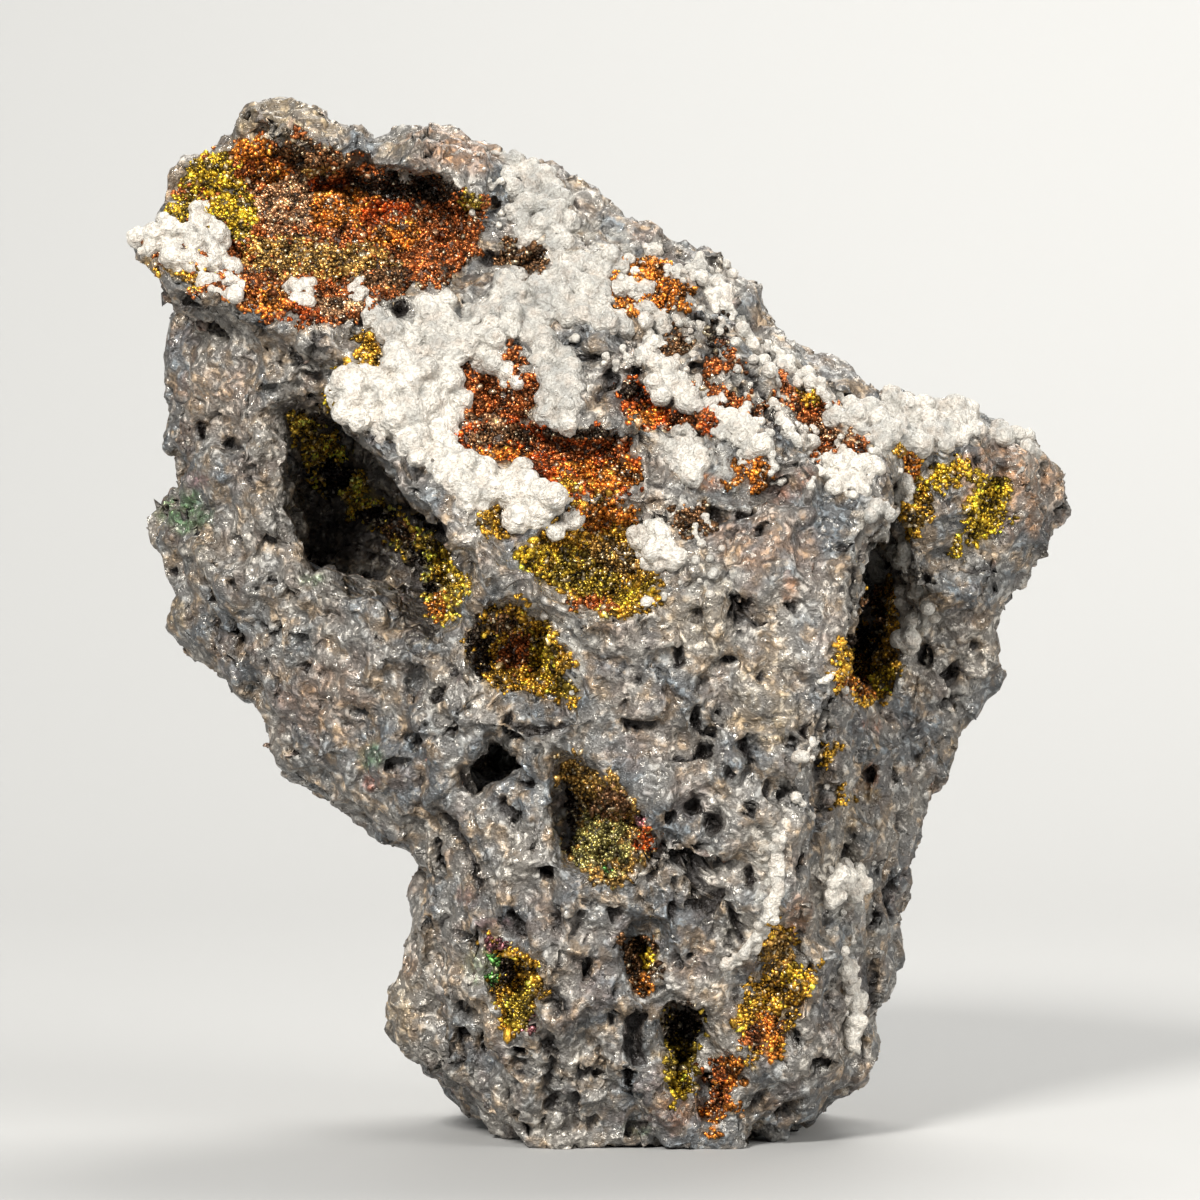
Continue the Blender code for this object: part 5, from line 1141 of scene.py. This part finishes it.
def make_white_lumps(tree, shape, settings, seed):
    """Small lumps strewn thinly where white crust begins to grow."""
    draw = random.Random(seed)
    balls = []
    for spacing, radius, grey, outline in WHITE_LUMPS:
        for across, up in spots_in(outline, spacing, draw):
            spot, _, _, _ = tree.ray_cast(EYE, seen(across + draw.gauss(0, 0.4), up + draw.gauss(0, 0.4)))
            if spot is None or draw.random() < 0.3:
                continue
            for _ in range(draw.randint(1, 4)):
                near, normal, _, _ = tree.find_nearest(spot + any_way(draw) * radius * 0.9 * MM)
                balls.append((near + normal * 0.1 * MM, radius * draw.uniform(0.5, 1.1), grey))
    return fused_balls("small_white_lumps", balls, shape, settings, seed)


# Materials


def new_group(name, inputs, outputs):
    """A shader node group with number inputs, each (name, default), and outputs, each (name, kind)."""
    group = bpy.data.node_groups.new(name, "ShaderNodeTree")
    for label, default in inputs:
        socket = group.interface.new_socket(name=label, in_out="INPUT", socket_type="NodeSocketFloat")
        socket.default_value = default
    for label, kind in outputs:
        group.interface.new_socket(name=label, in_out="OUTPUT", socket_type=kind)
    start = group.nodes.new("NodeGroupInput")
    start.location = (-900, 0)
    end = group.nodes.new("NodeGroupOutput")
    end.location = (700, 0)
    return group, start.outputs, end.inputs


def add_node(tree, kind, **values):
    """Adds a node, and sets the inputs and options named."""
    node = tree.nodes.new(kind)
    node.location = (-700 + 180 * (len(tree.nodes) % 8), 250 - 160 * (len(tree.nodes) // 8))
    for key, value in values.items():
        if key in node.inputs:
            node.inputs[key].default_value = value
        else:
            setattr(node, key, value)
    return node


def join(tree, *pairs):
    """Links the two sockets of each pair."""
    for first, second in pairs:
        tree.links.new(first, second)


def scale_for(group, size):
    """The scale that gives a texture this size in mm."""
    per_metre = add_node(group, "ShaderNodeMath", operation="DIVIDE")
    per_metre.inputs[0].default_value = 1000
    group.links.new(size, per_metre.inputs[1])
    return per_metre.outputs[0]


def patch_group():
    """A mask with ragged patches of a given size in mm."""
    group, start, end = new_group(
        "Patches", [("Size", 3.0), ("From", 0.45), ("To", 0.55), ("Detail", 4.0)], [("Mask", "NodeSocketFloat")])
    coordinates = add_node(group, "ShaderNodeTexCoord")
    cloud = add_node(group, "ShaderNodeTexNoise")
    ramp = add_node(group, "ShaderNodeMapRange", clamp=True)
    join(
        group,
        (coordinates.outputs["Object"], cloud.inputs["Vector"]),
        (scale_for(group, start["Size"]), cloud.inputs["Scale"]),
        (start["Detail"], cloud.inputs["Detail"]),
        (cloud.outputs["Fac"], ramp.inputs["Value"]),
        (start["From"], ramp.inputs["From Min"]),
        (start["To"], ramp.inputs["From Max"]),
        (ramp.outputs["Result"], end["Mask"]),
    )


def facet_group():
    """Small cells of a given size in mm, each with a value of its own, and normals tipped cell by cell."""
    group, start, end = new_group(
        "Facets", [("Size", 0.4), ("Tilt", 0.5)], [("Value", "NodeSocketFloat"), ("Normal", "NodeSocketVector")])
    coordinates = add_node(group, "ShaderNodeTexCoord")
    cells = add_node(group, "ShaderNodeTexVoronoi")
    middle = add_node(group, "ShaderNodeVectorMath", operation="SUBTRACT")
    middle.inputs[1].default_value = (0.5, 0.5, 0.5)
    scaled = add_node(group, "ShaderNodeVectorMath", operation="SCALE")
    geometry = add_node(group, "ShaderNodeNewGeometry")
    tipped = add_node(group, "ShaderNodeVectorMath", operation="ADD")
    unit = add_node(group, "ShaderNodeVectorMath", operation="NORMALIZE")
    apart = add_node(group, "ShaderNodeSeparateColor")
    join(
        group,
        (coordinates.outputs["Object"], cells.inputs["Vector"]),
        (scale_for(group, start["Size"]), cells.inputs["Scale"]),
        (cells.outputs["Color"], middle.inputs[0]),
        (middle.outputs[0], scaled.inputs[0]),
        (start["Tilt"], scaled.inputs["Scale"]),
        (geometry.outputs["Normal"], tipped.inputs[0]),
        (scaled.outputs[0], tipped.inputs[1]),
        (tipped.outputs[0], unit.inputs[0]),
        (cells.outputs["Color"], apart.inputs[0]),
        (apart.outputs[0], end["Value"]),
        (unit.outputs[0], end["Normal"]),
    )


def relief_group():
    """A height from crisp creases and fine noise, their sizes in mm."""
    group, start, end = new_group(
        "Relief", [("Coarse Size", 0.8), ("Fine Size", 0.25), ("Fine Share", 0.5)], [("Height", "NodeSocketFloat")])
    coordinates = add_node(group, "ShaderNodeTexCoord")
    clouds = []
    for label, kind, detail in (("Coarse Size", "RIDGED_MULTIFRACTAL", 3.0), ("Fine Size", "FBM", 2.0)):
        cloud = add_node(group, "ShaderNodeTexNoise", noise_type=kind, Detail=detail, Roughness=0.55, Distortion=0.4)
        join(
            group,
            (coordinates.outputs["Object"], cloud.inputs["Vector"]),
            (scale_for(group, start[label]), cloud.inputs["Scale"]),
        )
        clouds.append(cloud.outputs["Fac"])
    coarse, fine = clouds
    height = add_node(group, "ShaderNodeMath", operation="MULTIPLY_ADD")
    join(
        group, (fine, height.inputs[0]), (start["Fine Share"], height.inputs[1]), (coarse, height.inputs[2]),
        (height.outputs[0], end["Height"]),
    )


def placed_group(tree, name, **values):
    """Places a node group in a material, its inputs set by name."""
    node = add_node(tree, "ShaderNodeGroup")
    node.node_tree = bpy.data.node_groups[name]
    for key, value in values.items():
        node.inputs[key.replace("_", " ")].default_value = value
    return node.outputs


def attribute(tree, name):
    """The outputs of a node that reads one of a mesh's attributes."""
    return add_node(tree, "ShaderNodeAttribute", attribute_name=name).outputs


def feed(tree, value, socket):
    """Links a socket to another, or sets it to a plain value."""
    if isinstance(value, bpy.types.NodeSocket):
        tree.links.new(value, socket)
    else:
        socket.default_value = value


def mixed(tree, mask, first, second, strength=1.0):
    """A colour mix by a mask, its second colour laid at a strength. Each colour is a socket or a plain value."""
    if strength != 1.0:
        times = add_node(tree, "ShaderNodeMath", operation="MULTIPLY")
        feed(tree, mask, times.inputs[0])
        feed(tree, strength, times.inputs[1])
        mask = times.outputs[0]
    mix = add_node(tree, "ShaderNodeMix", data_type="RGBA")
    feed(tree, mask, mix.inputs[0])
    for socket, colour in ((mix.inputs[6], first), (mix.inputs[7], second)):
        feed(tree, colour if isinstance(colour, bpy.types.NodeSocket) else (*colour, 1), socket)
    return mix.outputs[2]


def ranged(tree, value, low, high, to_low=0.0, to_high=1.0):
    """A value carried from one range to another and held there."""
    ramp = add_node(tree, "ShaderNodeMapRange", clamp=True)
    feed(tree, value, ramp.inputs["Value"])
    for key, number in (("From Min", low), ("From Max", high), ("To Min", to_low), ("To Max", to_high)):
        ramp.inputs[key].default_value = number
    return ramp.outputs["Result"]


def new_material(name):
    """A material with its node tree and its surface's inputs."""
    material = bpy.data.materials.new(name)
    material.use_nodes = True
    return material, material.node_tree, material.node_tree.nodes["Principled BSDF"].inputs


def bumped(tree, surface, height, distance, normal):
    """Gives the surface a fine relief of this height, in metres, over normals that are tipped already."""
    bump = add_node(tree, "ShaderNodeBump", Strength=1.0, Distance=distance)
    join(tree, (height, bump.inputs["Height"]), (normal, bump.inputs["Normal"]),
         (bump.outputs["Normal"], surface["Normal"]))


def stone_material(settings):
    """Grey broken stone: tan flecks, brown patches, stains, painted shade in the cave, creases and pits, painted
    highlights on glinting facets, and white dust.
    """
    material, tree, surface = new_material("Stone Skin")
    broad = placed_group(tree, "Patches", Size=6.0, From=0.38, To=0.62)["Mask"]
    tan = placed_group(tree, "Patches", Size=2.0, From=0.5, To=0.64, Detail=6.0)["Mask"]
    brown = placed_group(tree, "Patches", Size=3.2, From=0.52, To=0.68, Detail=6.0)["Mask"]
    facets = placed_group(tree, "Facets", Size=0.34, Tilt=settings.facet_tilt)
    height = placed_group(tree, "Relief", Coarse_Size=0.9, Fine_Size=0.24, Fine_Share=0.45)["Height"]
    colour = mixed(tree, broad, settings.light_grey, settings.dark_grey)
    colour = mixed(tree, tan, colour, settings.tan, strength=0.75)
    colour = mixed(tree, brown, colour, settings.brown, strength=0.55)
    stain_and_cave_shade = attribute(tree, "stain_and_cave_shade")
    # Stains, and near-black painted as shade in the cave
    colour = mixed(tree, stain_and_cave_shade["Alpha"], colour, stain_and_cave_shade["Color"])
    # Painted shade where the stone's fine relief is low
    crease_shade_mask = ranged(tree, height, settings.crease_low, settings.crease_high, to_low=0.72, to_high=0.0)
    colour = mixed(tree, crease_shade_mask, colour, CREASE_PAINTED_SHADE)
    # Painted highlights on a few facets
    painted_glints = ranged(tree, facets["Value"], 0.86, 0.9)
    colour = mixed(tree, painted_glints, colour, PAINTED_GLINT_COLOUR, strength=0.3)
    colour = mixed(tree, attribute(tree, "dust")["Fac"], colour, settings.dust)
    # Painted shade in pits, grooves and open cells, deeper where they are deeper
    pit_shade_mask = ranged(tree, attribute(tree, "pit_shade")["Fac"], 0.2, 0.6, to_high=0.95)
    colour = mixed(tree, pit_shade_mask, colour, PIT_PAINTED_SHADE)
    join(
        tree, (colour, surface["Base Color"]),
        (ranged(tree, facets["Value"], 0.3, 1.0, to_low=0.5, to_high=0.2), surface["Roughness"]),
        (ranged(tree, facets["Value"], 0.3, 1.0, to_low=0.1, to_high=0.7), surface["Metallic"]),
    )
    bumped(tree, surface, height, settings.bump, facets["Normal"])
    return material


def crystal_material(settings):
    """Metallic crystals, each of its own colour and broken into tiny facets."""
    material, tree, surface = new_material("Metallic Crystals")
    facets = placed_group(tree, "Facets", Size=0.16, Tilt=0.5)
    shade = ranged(tree, facets["Value"], 0.0, 0.45, to_low=0.7, to_high=0.0)
    colour = mixed(tree, shade, attribute(tree, "tint")["Color"], CRYSTAL_SHADE)
    join(
        tree, (colour, surface["Base Color"]), (facets["Normal"], surface["Normal"]),
        (ranged(tree, facets["Value"], 0.0, 1.0, to_low=0.5, to_high=0.25), surface["Roughness"]),
    )
    surface["Metallic"].default_value = settings.metallic
    return material


def white_material(settings):
    """White crust with greyer and clearer parts, a faint warmth, painted shade in its creases and light scattered under
    its surface.
    """
    material, tree, surface = new_material("White Crust")
    warm = placed_group(tree, "Patches", Size=1.3, From=0.48, To=0.66)["Mask"]
    clear = placed_group(tree, "Patches", Size=0.8, From=0.5, To=0.68)["Mask"]
    facets = placed_group(tree, "Facets", Size=0.2, Tilt=0.35)
    height = placed_group(tree, "Relief", Coarse_Size=0.6, Fine_Size=0.2, Fine_Share=0.8)["Height"]
    colour = mixed(tree, attribute(tree, "greyness")["Fac"], settings.white, settings.grey)
    colour = mixed(tree, warm, colour, settings.warm, strength=0.5)
    colour = mixed(tree, clear, colour, settings.grey, strength=0.55)
    # Painted shade where the crust's fine relief is low
    crease_shade_mask = ranged(tree, height, settings.crease_low, settings.crease_high, to_low=0.45, to_high=0.0)
    colour = mixed(tree, crease_shade_mask, colour, settings.crease_shade)
    join(
        tree, (colour, surface["Base Color"]),
        (ranged(tree, facets["Value"], 0.4, 1.0, to_low=0.5, to_high=0.18), surface["Roughness"]),
    )
    surface["Subsurface Weight"].default_value = 0.15
    surface["Subsurface Radius"].default_value = (1.0, 0.95, 0.85)
    surface["Subsurface Scale"].default_value = 0.4 * MM
    bumped(tree, surface, height, settings.bump, facets["Normal"])
    return material


def plain_material(name, colour, roughness):
    """A material of one colour."""
    material, _, surface = new_material(name)
    surface["Base Color"].default_value = (*colour, 1)
    surface["Roughness"].default_value = roughness
    return material


# The stage


def pick_edges(obj, wanted):
    """Leaves the object in edit mode with only the edges picked whose two ends are wanted."""
    if obj.mode == "OBJECT":
        bpy.ops.object.mode_set(mode="EDIT")
    bpy.ops.mesh.select_mode(type="EDGE")
    bpy.ops.mesh.select_all(action="DESELECT")
    bpy.ops.object.mode_set(mode="OBJECT")
    for edge in obj.data.edges:
        edge.select = all(wanted(obj.data.vertices[corner].co) for corner in edge.vertices)
    bpy.ops.object.mode_set(mode="EDIT")


def make_floor(material):
    """A floor that curves up into a backdrop behind the specimen."""
    bpy.ops.object.select_all(action="DESELECT")
    bpy.ops.mesh.primitive_plane_add(size=FLOOR_WIDTH, location=(0, FLOOR_MIDDLE, 0))
    floor = bpy.context.object
    floor.name = "floor"
    pick_edges(floor, lambda end: end.y > 0.5)
    bpy.ops.mesh.extrude_edges_move(TRANSFORM_OT_translate={"value": (0, 0, BACKDROP_HEIGHT)})
    pick_edges(floor, lambda end: end.y > 0.5 and end.z < 0.1)
    bpy.ops.mesh.bevel(offset=BACKDROP_CURVE, segments=24)
    bpy.ops.object.mode_set(mode="OBJECT")
    bpy.ops.object.transform_apply(location=True, rotation=True, scale=True)
    bpy.ops.object.shade_smooth()
    floor.data.materials.append(material)


def add_light(name, place, size, power):
    """A round soft light that points at the specimen's middle."""
    data = bpy.data.lights.new(name, "AREA")
    data.shape = "DISK"
    data.size = size
    data.energy = power
    data.color = LIGHT_COLOUR
    light = bpy.data.objects.new(name, data)
    light.location = place
    aim = Vector(LIT_MIDDLE) - Vector(place)
    light.rotation_euler = aim.to_track_quat("-Z", "Y").to_euler()
    bpy.context.scene.collection.objects.link(light)


def add_sky(scene, strength):
    """Even light from all around."""
    world = bpy.data.worlds.new("Studio")
    scene.world = world
    world.use_nodes = True
    background = world.node_tree.nodes["Background"]
    background.inputs["Color"].default_value = (*SKY_COLOUR, 1)
    background.inputs["Strength"].default_value = strength


def add_camera(scene):
    """The camera at the photograph's eye."""
    camera = bpy.data.cameras.new("Camera")
    camera.sensor_width = 36
    camera.lens = 36 * EYE_DISTANCE / PICTURE_WIDTH
    camera.clip_start = 0.01
    eye = bpy.data.objects.new("Camera", camera)
    eye.location = EYE
    eye.rotation_euler = (math.radians(90), 0, 0)
    scene.collection.objects.link(eye)
    scene.camera = eye


# Settings


class StoneSettings(bpy.types.PropertyGroup):
    voxel: bpy.props.FloatProperty(
        name="Skin Detail", description="Size of the small faces of the stone's skin",
        default=0.396 * MM, unit="LENGTH", precision=5)
    triangles: bpy.props.IntProperty(
        name="Triangles", description="Most triangles in one half of the skin", default=199000)
    parting: bpy.props.FloatProperty(
        name="Parting", description="Depth at which the front half meets the back half", default=0,
        unit="LENGTH", precision=5)
    warp: bpy.props.FloatProperty(
        name="Warp", description="How far the skin wanders sideways", default=1.3 * MM, unit="LENGTH",
        precision=5)
    cell_depth: bpy.props.FloatProperty(
        name="Cell Depth", description="How deep the open cells are", default=0.75)
    broad_rise: bpy.props.FloatProperty(
        name="Broad Lumps", description="Height of the broad lumps", default=0.45 * MM, unit="LENGTH", precision=5)
    crease_rise: bpy.props.FloatProperty(
        name="Creases", description="Height between the broken creases", default=0.26 * MM, unit="LENGTH",
        precision=5)
    grain_rise: bpy.props.FloatProperty(
        name="Grain", description="Height of the finer grain", default=0.14 * MM, unit="LENGTH", precision=5)
    pore_count: bpy.props.IntProperty(
        name="Pores", description="Seeded pits all over the stone", default=600)
    seed: bpy.props.IntProperty(name="Seed", description="Start of the draw that places the pits", default=4)
    facet_tilt: bpy.props.FloatProperty(
        name="Facet Tilt", description="How far the tiny facets are tipped", default=0.38)
    # Between these two values of the fine relief, the skin gets painted shade in its creases.
    crease_low: bpy.props.FloatProperty(
        name="Deepest Crease", description="Fine relief at which the skin is darkest", default=0.27)
    crease_high: bpy.props.FloatProperty(
        name="Shallow Crease", description="Fine relief above which the skin isn't darkened", default=0.42)
    bump: bpy.props.FloatProperty(
        name="Fine Relief", description="Height of the finest relief", default=0.42 * MM, unit="LENGTH",
        precision=5)
    chip_spacing: bpy.props.FloatProperty(
        name="Chip Spacing", description="Distance between the grit's chips", default=1.9 * MM, unit="LENGTH",
        precision=5)
    chip: bpy.props.FloatProperty(
        name="Chip Size", description="Width of one chip of grit", default=0.32 * MM, unit="LENGTH", precision=5)
    light_grey: bpy.props.FloatVectorProperty(
        name="Light Grey", description="Paler grey of the skin", default=(0.54, 0.50, 0.44), subtype="COLOR")
    dark_grey: bpy.props.FloatVectorProperty(
        name="Dark Grey", description="Darker grey of the skin", default=(0.18, 0.20, 0.215), subtype="COLOR")
    tan: bpy.props.FloatVectorProperty(
        name="Tan", description="Tan flecks", default=(0.46, 0.32, 0.185), subtype="COLOR")
    brown: bpy.props.FloatVectorProperty(
        name="Brown", description="Pinkish brown patches", default=(0.19, 0.115, 0.08), subtype="COLOR")
    dust: bpy.props.FloatVectorProperty(
        name="Dust", description="Thin white dusting", default=(0.50, 0.48, 0.43), subtype="COLOR")


class CrystalSettings(bpy.types.PropertyGroup):
    grain: bpy.props.FloatProperty(
        name="Grain", description="Width of one crystal", default=0.34 * MM, unit="LENGTH", precision=5)
    spacing: bpy.props.FloatProperty(
        name="Spacing", description="Distance between crystals", default=0.29 * MM, unit="LENGTH", precision=5)
    tilt: bpy.props.FloatProperty(
        name="Tilt", description="How far the crystals lean at random", default=0.6)
    metallic: bpy.props.FloatProperty(
        name="Metallic", description="How metallic the crystals look", default=0.8, subtype="FACTOR")


class CrustSettings(bpy.types.PropertyGroup):
    voxel: bpy.props.FloatProperty(
        name="Crust Detail", description="Size of the small faces of the white crusts", default=0.165 * MM,
        unit="LENGTH", precision=5)
    buds: bpy.props.IntProperty(
        name="Buds", description="Smaller balls on each ball", default=14)
    # Between these two values of the fine relief, the crust gets painted shade in its creases.
    crease_low: bpy.props.FloatProperty(
        name="Deepest Crease", description="Fine relief at which the crust is darkest", default=0.35)
    crease_high: bpy.props.FloatProperty(
        name="Shallow Crease", description="Fine relief above which the crust isn't darkened", default=0.5)
    bump: bpy.props.FloatProperty(
        name="Fine Relief", description="Height of the finest relief", default=0.3 * MM, unit="LENGTH", precision=5)
    # Painted shade in the crust's creases
    crease_shade: bpy.props.FloatVectorProperty(
        name="Crease", description="Colour of the crust's creases", default=(0.16, 0.14, 0.12), subtype="COLOR")
    white: bpy.props.FloatVectorProperty(
        name="White", description="The whitest crust", default=(0.70, 0.66, 0.59), subtype="COLOR")
    grey: bpy.props.FloatVectorProperty(
        name="Grey", description="The greyer, clearer crust", default=(0.27, 0.27, 0.255), subtype="COLOR")
    warm: bpy.props.FloatVectorProperty(
        name="Warm", description="Faint rose and cream in the crust", default=(0.48, 0.40, 0.33), subtype="COLOR")


class StageSettings(bpy.types.PropertyGroup):
    floor: bpy.props.FloatVectorProperty(
        name="Floor", description="Pale floor and backdrop", default=(0.4, 0.4, 0.395), subtype="COLOR")
    key_power: bpy.props.FloatProperty(
        name="Key Light", description="Power of the main light", default=24.0, unit="POWER")
    fill_power: bpy.props.FloatProperty(
        name="Fill Light", description="Power of the light from the right", default=7.0, unit="POWER")
    sky: bpy.props.FloatProperty(
        name="Sky", description="Strength of the even light from all around", default=0.35)


# Operators


class SPECIMEN_OT_stone(bpy.types.Operator):
    """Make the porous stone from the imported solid"""
    bl_idname = "specimen.stone"
    bl_label = "Stone"

    def execute(self, context):
        settings = context.scene.specimen_stone
        patch_group()
        facet_group()
        relief_group()
        material = stone_material(settings)
        front, back = make_stone(settings)
        settle(front, material, "stone_skin", "stone")
        settle(back, material, "stone_skin")
        return {"FINISHED"}


class SPECIMEN_OT_grit(bpy.types.Operator):
    """Scatter small broken chips over the stone's skin"""
    bl_idname = "specimen.grit"
    bl_label = "Stone Grit"

    def execute(self, context):
        settings = context.scene.specimen_stone
        stone = stone_mesh()
        middles = corners_of_triangles(stone).mean(axis=1)
        spots, normals = scattered(stone, middles[:, 2] > CHIPS_ABOVE * MM, settings.chip_spacing, GRIT_SEED)
        draw = np.random.default_rng(GRIT_SEED + 1)
        size = settings.chip * np.exp(draw.normal(0, 0.35, len(spots)))
        sizes = size[:, None] * draw.uniform(*zip(*CHIP_SIDES), (len(spots), 3))
        frames = turned_frames(normals, CHIP_TILT, draw)
        centres = spots - normals * (0.05 * size)[:, None]
        piece = joined_copies("stone_grit", template(chip_shape), centres, frames, sizes)
        finder = finder_of(arrays_of(stone)[0])
        nearest = np.array([finder.find(spot)[1] for spot in spots.tolist()])
        repeat = len(piece.data.vertices) // len(spots)
        for name, kind, width in ATTRIBUTES:
            values = read(stone.attributes[name].data, FIELDS[kind], width)[nearest]
            add_attribute(piece.data, name, kind, np.repeat(values, repeat, axis=0))
        settle(piece, bpy.data.materials["Stone Skin"], "stone_skin")
        return {"FINISHED"}


class SPECIMEN_OT_crystals(bpy.types.Operator):
    """Line each hollow with metallic crystals"""
    bl_idname = "specimen.crystals"
    bl_label = "Crystals"

    def execute(self, context):
        settings = context.scene.specimen_crystals
        material = crystal_material(settings)
        stone = stone_mesh()
        middles = corners_of_triangles(stone).mean(axis=1)
        across, up = wavered(middles)
        shown = shown_triangles(stone, middles)
        shape = template(crystal_shape)
        for seed, (node, (reach, colour, outlines)) in enumerate(LININGS.items(), LINING_SEED):
            chosen = near_node(middles, node, reach) & ~shown
            for outline in outlines:
                chosen |= within(across, up, outline) & shown
            name = node.removeprefix("crystals_") + "_crystals"
            piece = grains_on(name, stone, chosen, colour, shape, settings, seed)
            settle(piece, material, "crystal_crust", node)
        for number, (colour, outline) in enumerate(SMALL_LININGS):
            chosen = within(across, up, outline) & shown
            if chosen.any():
                name, seed = f"small_crystals_{number + 1}", SMALL_LINING_SEED + number
                piece = grains_on(name, stone, chosen, colour, shape, settings, seed)
                settle(piece, material, "crystal_crust")
        return {"FINISHED"}


class SPECIMEN_OT_white_crusts(bpy.types.Operator):
    """Grow the white crusts of fused balls"""
    bl_idname = "specimen.white_crusts"
    bl_label = "White Crusts"

    def execute(self, context):
        settings = context.scene.specimen_crusts
        material = white_material(settings)
        tree = tree_of(stone_mesh())
        shape = template(ball_shape)
        for seed, node in enumerate(WHITE_CRUSTS, CRUST_SEED):
            settle(make_white_crust(node, tree, shape, settings, seed), material, "white_crust", node)
        settle(make_white_lumps(tree, shape, settings, LUMPS_SEED), material, "white_crust")
        return {"FINISHED"}


class SPECIMEN_OT_stage(bpy.types.Operator):
    """Set the floor, the backdrop, the lights and the camera"""
    bl_idname = "specimen.stage"
    bl_label = "Stage"

    def execute(self, context):
        settings = context.scene.specimen_stage
        make_floor(plain_material("Pale Floor", settings.floor, 0.6))
        add_light("Key", (-0.4, -0.98, 0.66), 0.28, settings.key_power)
        add_light("Fill", (0.7, -0.6, 0.4), 0.6, settings.fill_power)
        add_light("Back", (0.2, 0.5, 0.8), 0.6, settings.fill_power)
        add_sky(context.scene, settings.sky)
        add_camera(context.scene)
        context.scene.view_settings.view_transform = "Standard"
        return {"FINISHED"}


class SPECIMEN_PT_panel(bpy.types.Panel):
    """Lists the steps that build the specimen"""
    bl_idname = "SPECIMEN_PT_panel"
    bl_label = "Turgite Specimen"
    bl_space_type = "VIEW_3D"
    bl_region_type = "UI"
    bl_category = "Specimen"

    def draw(self, context):
        for operator in OPERATORS:
            self.layout.operator(operator.bl_idname)


SETTINGS = {
    "specimen_stone": StoneSettings,
    "specimen_crystals": CrystalSettings,
    "specimen_crusts": CrustSettings,
    "specimen_stage": StageSettings,
}
OPERATORS = (
    SPECIMEN_OT_stone, SPECIMEN_OT_grit, SPECIMEN_OT_crystals, SPECIMEN_OT_white_crusts, SPECIMEN_OT_stage,
)


def register():
    """Registers the settings, the operators and the panel."""
    for item in (*SETTINGS.values(), *OPERATORS, SPECIMEN_PT_panel):
        bpy.utils.register_class(item)
    for name, group in SETTINGS.items():
        setattr(bpy.types.Scene, name, bpy.props.PointerProperty(type=group))


def unregister():
    """Takes them away again, in the opposite order."""
    for name in SETTINGS:
        delattr(bpy.types.Scene, name)
    for item in (SPECIMEN_PT_panel, *reversed(OPERATORS), *reversed(list(SETTINGS.values()))):
        bpy.utils.unregister_class(item)


def main():
    """Builds the specimen and its stage."""
    register()
    bpy.ops.specimen.stone()
    bpy.ops.specimen.grit()
    bpy.ops.specimen.crystals()
    bpy.ops.specimen.white_crusts()
    bpy.ops.specimen.stage()


if __name__ == "__main__":
    main()
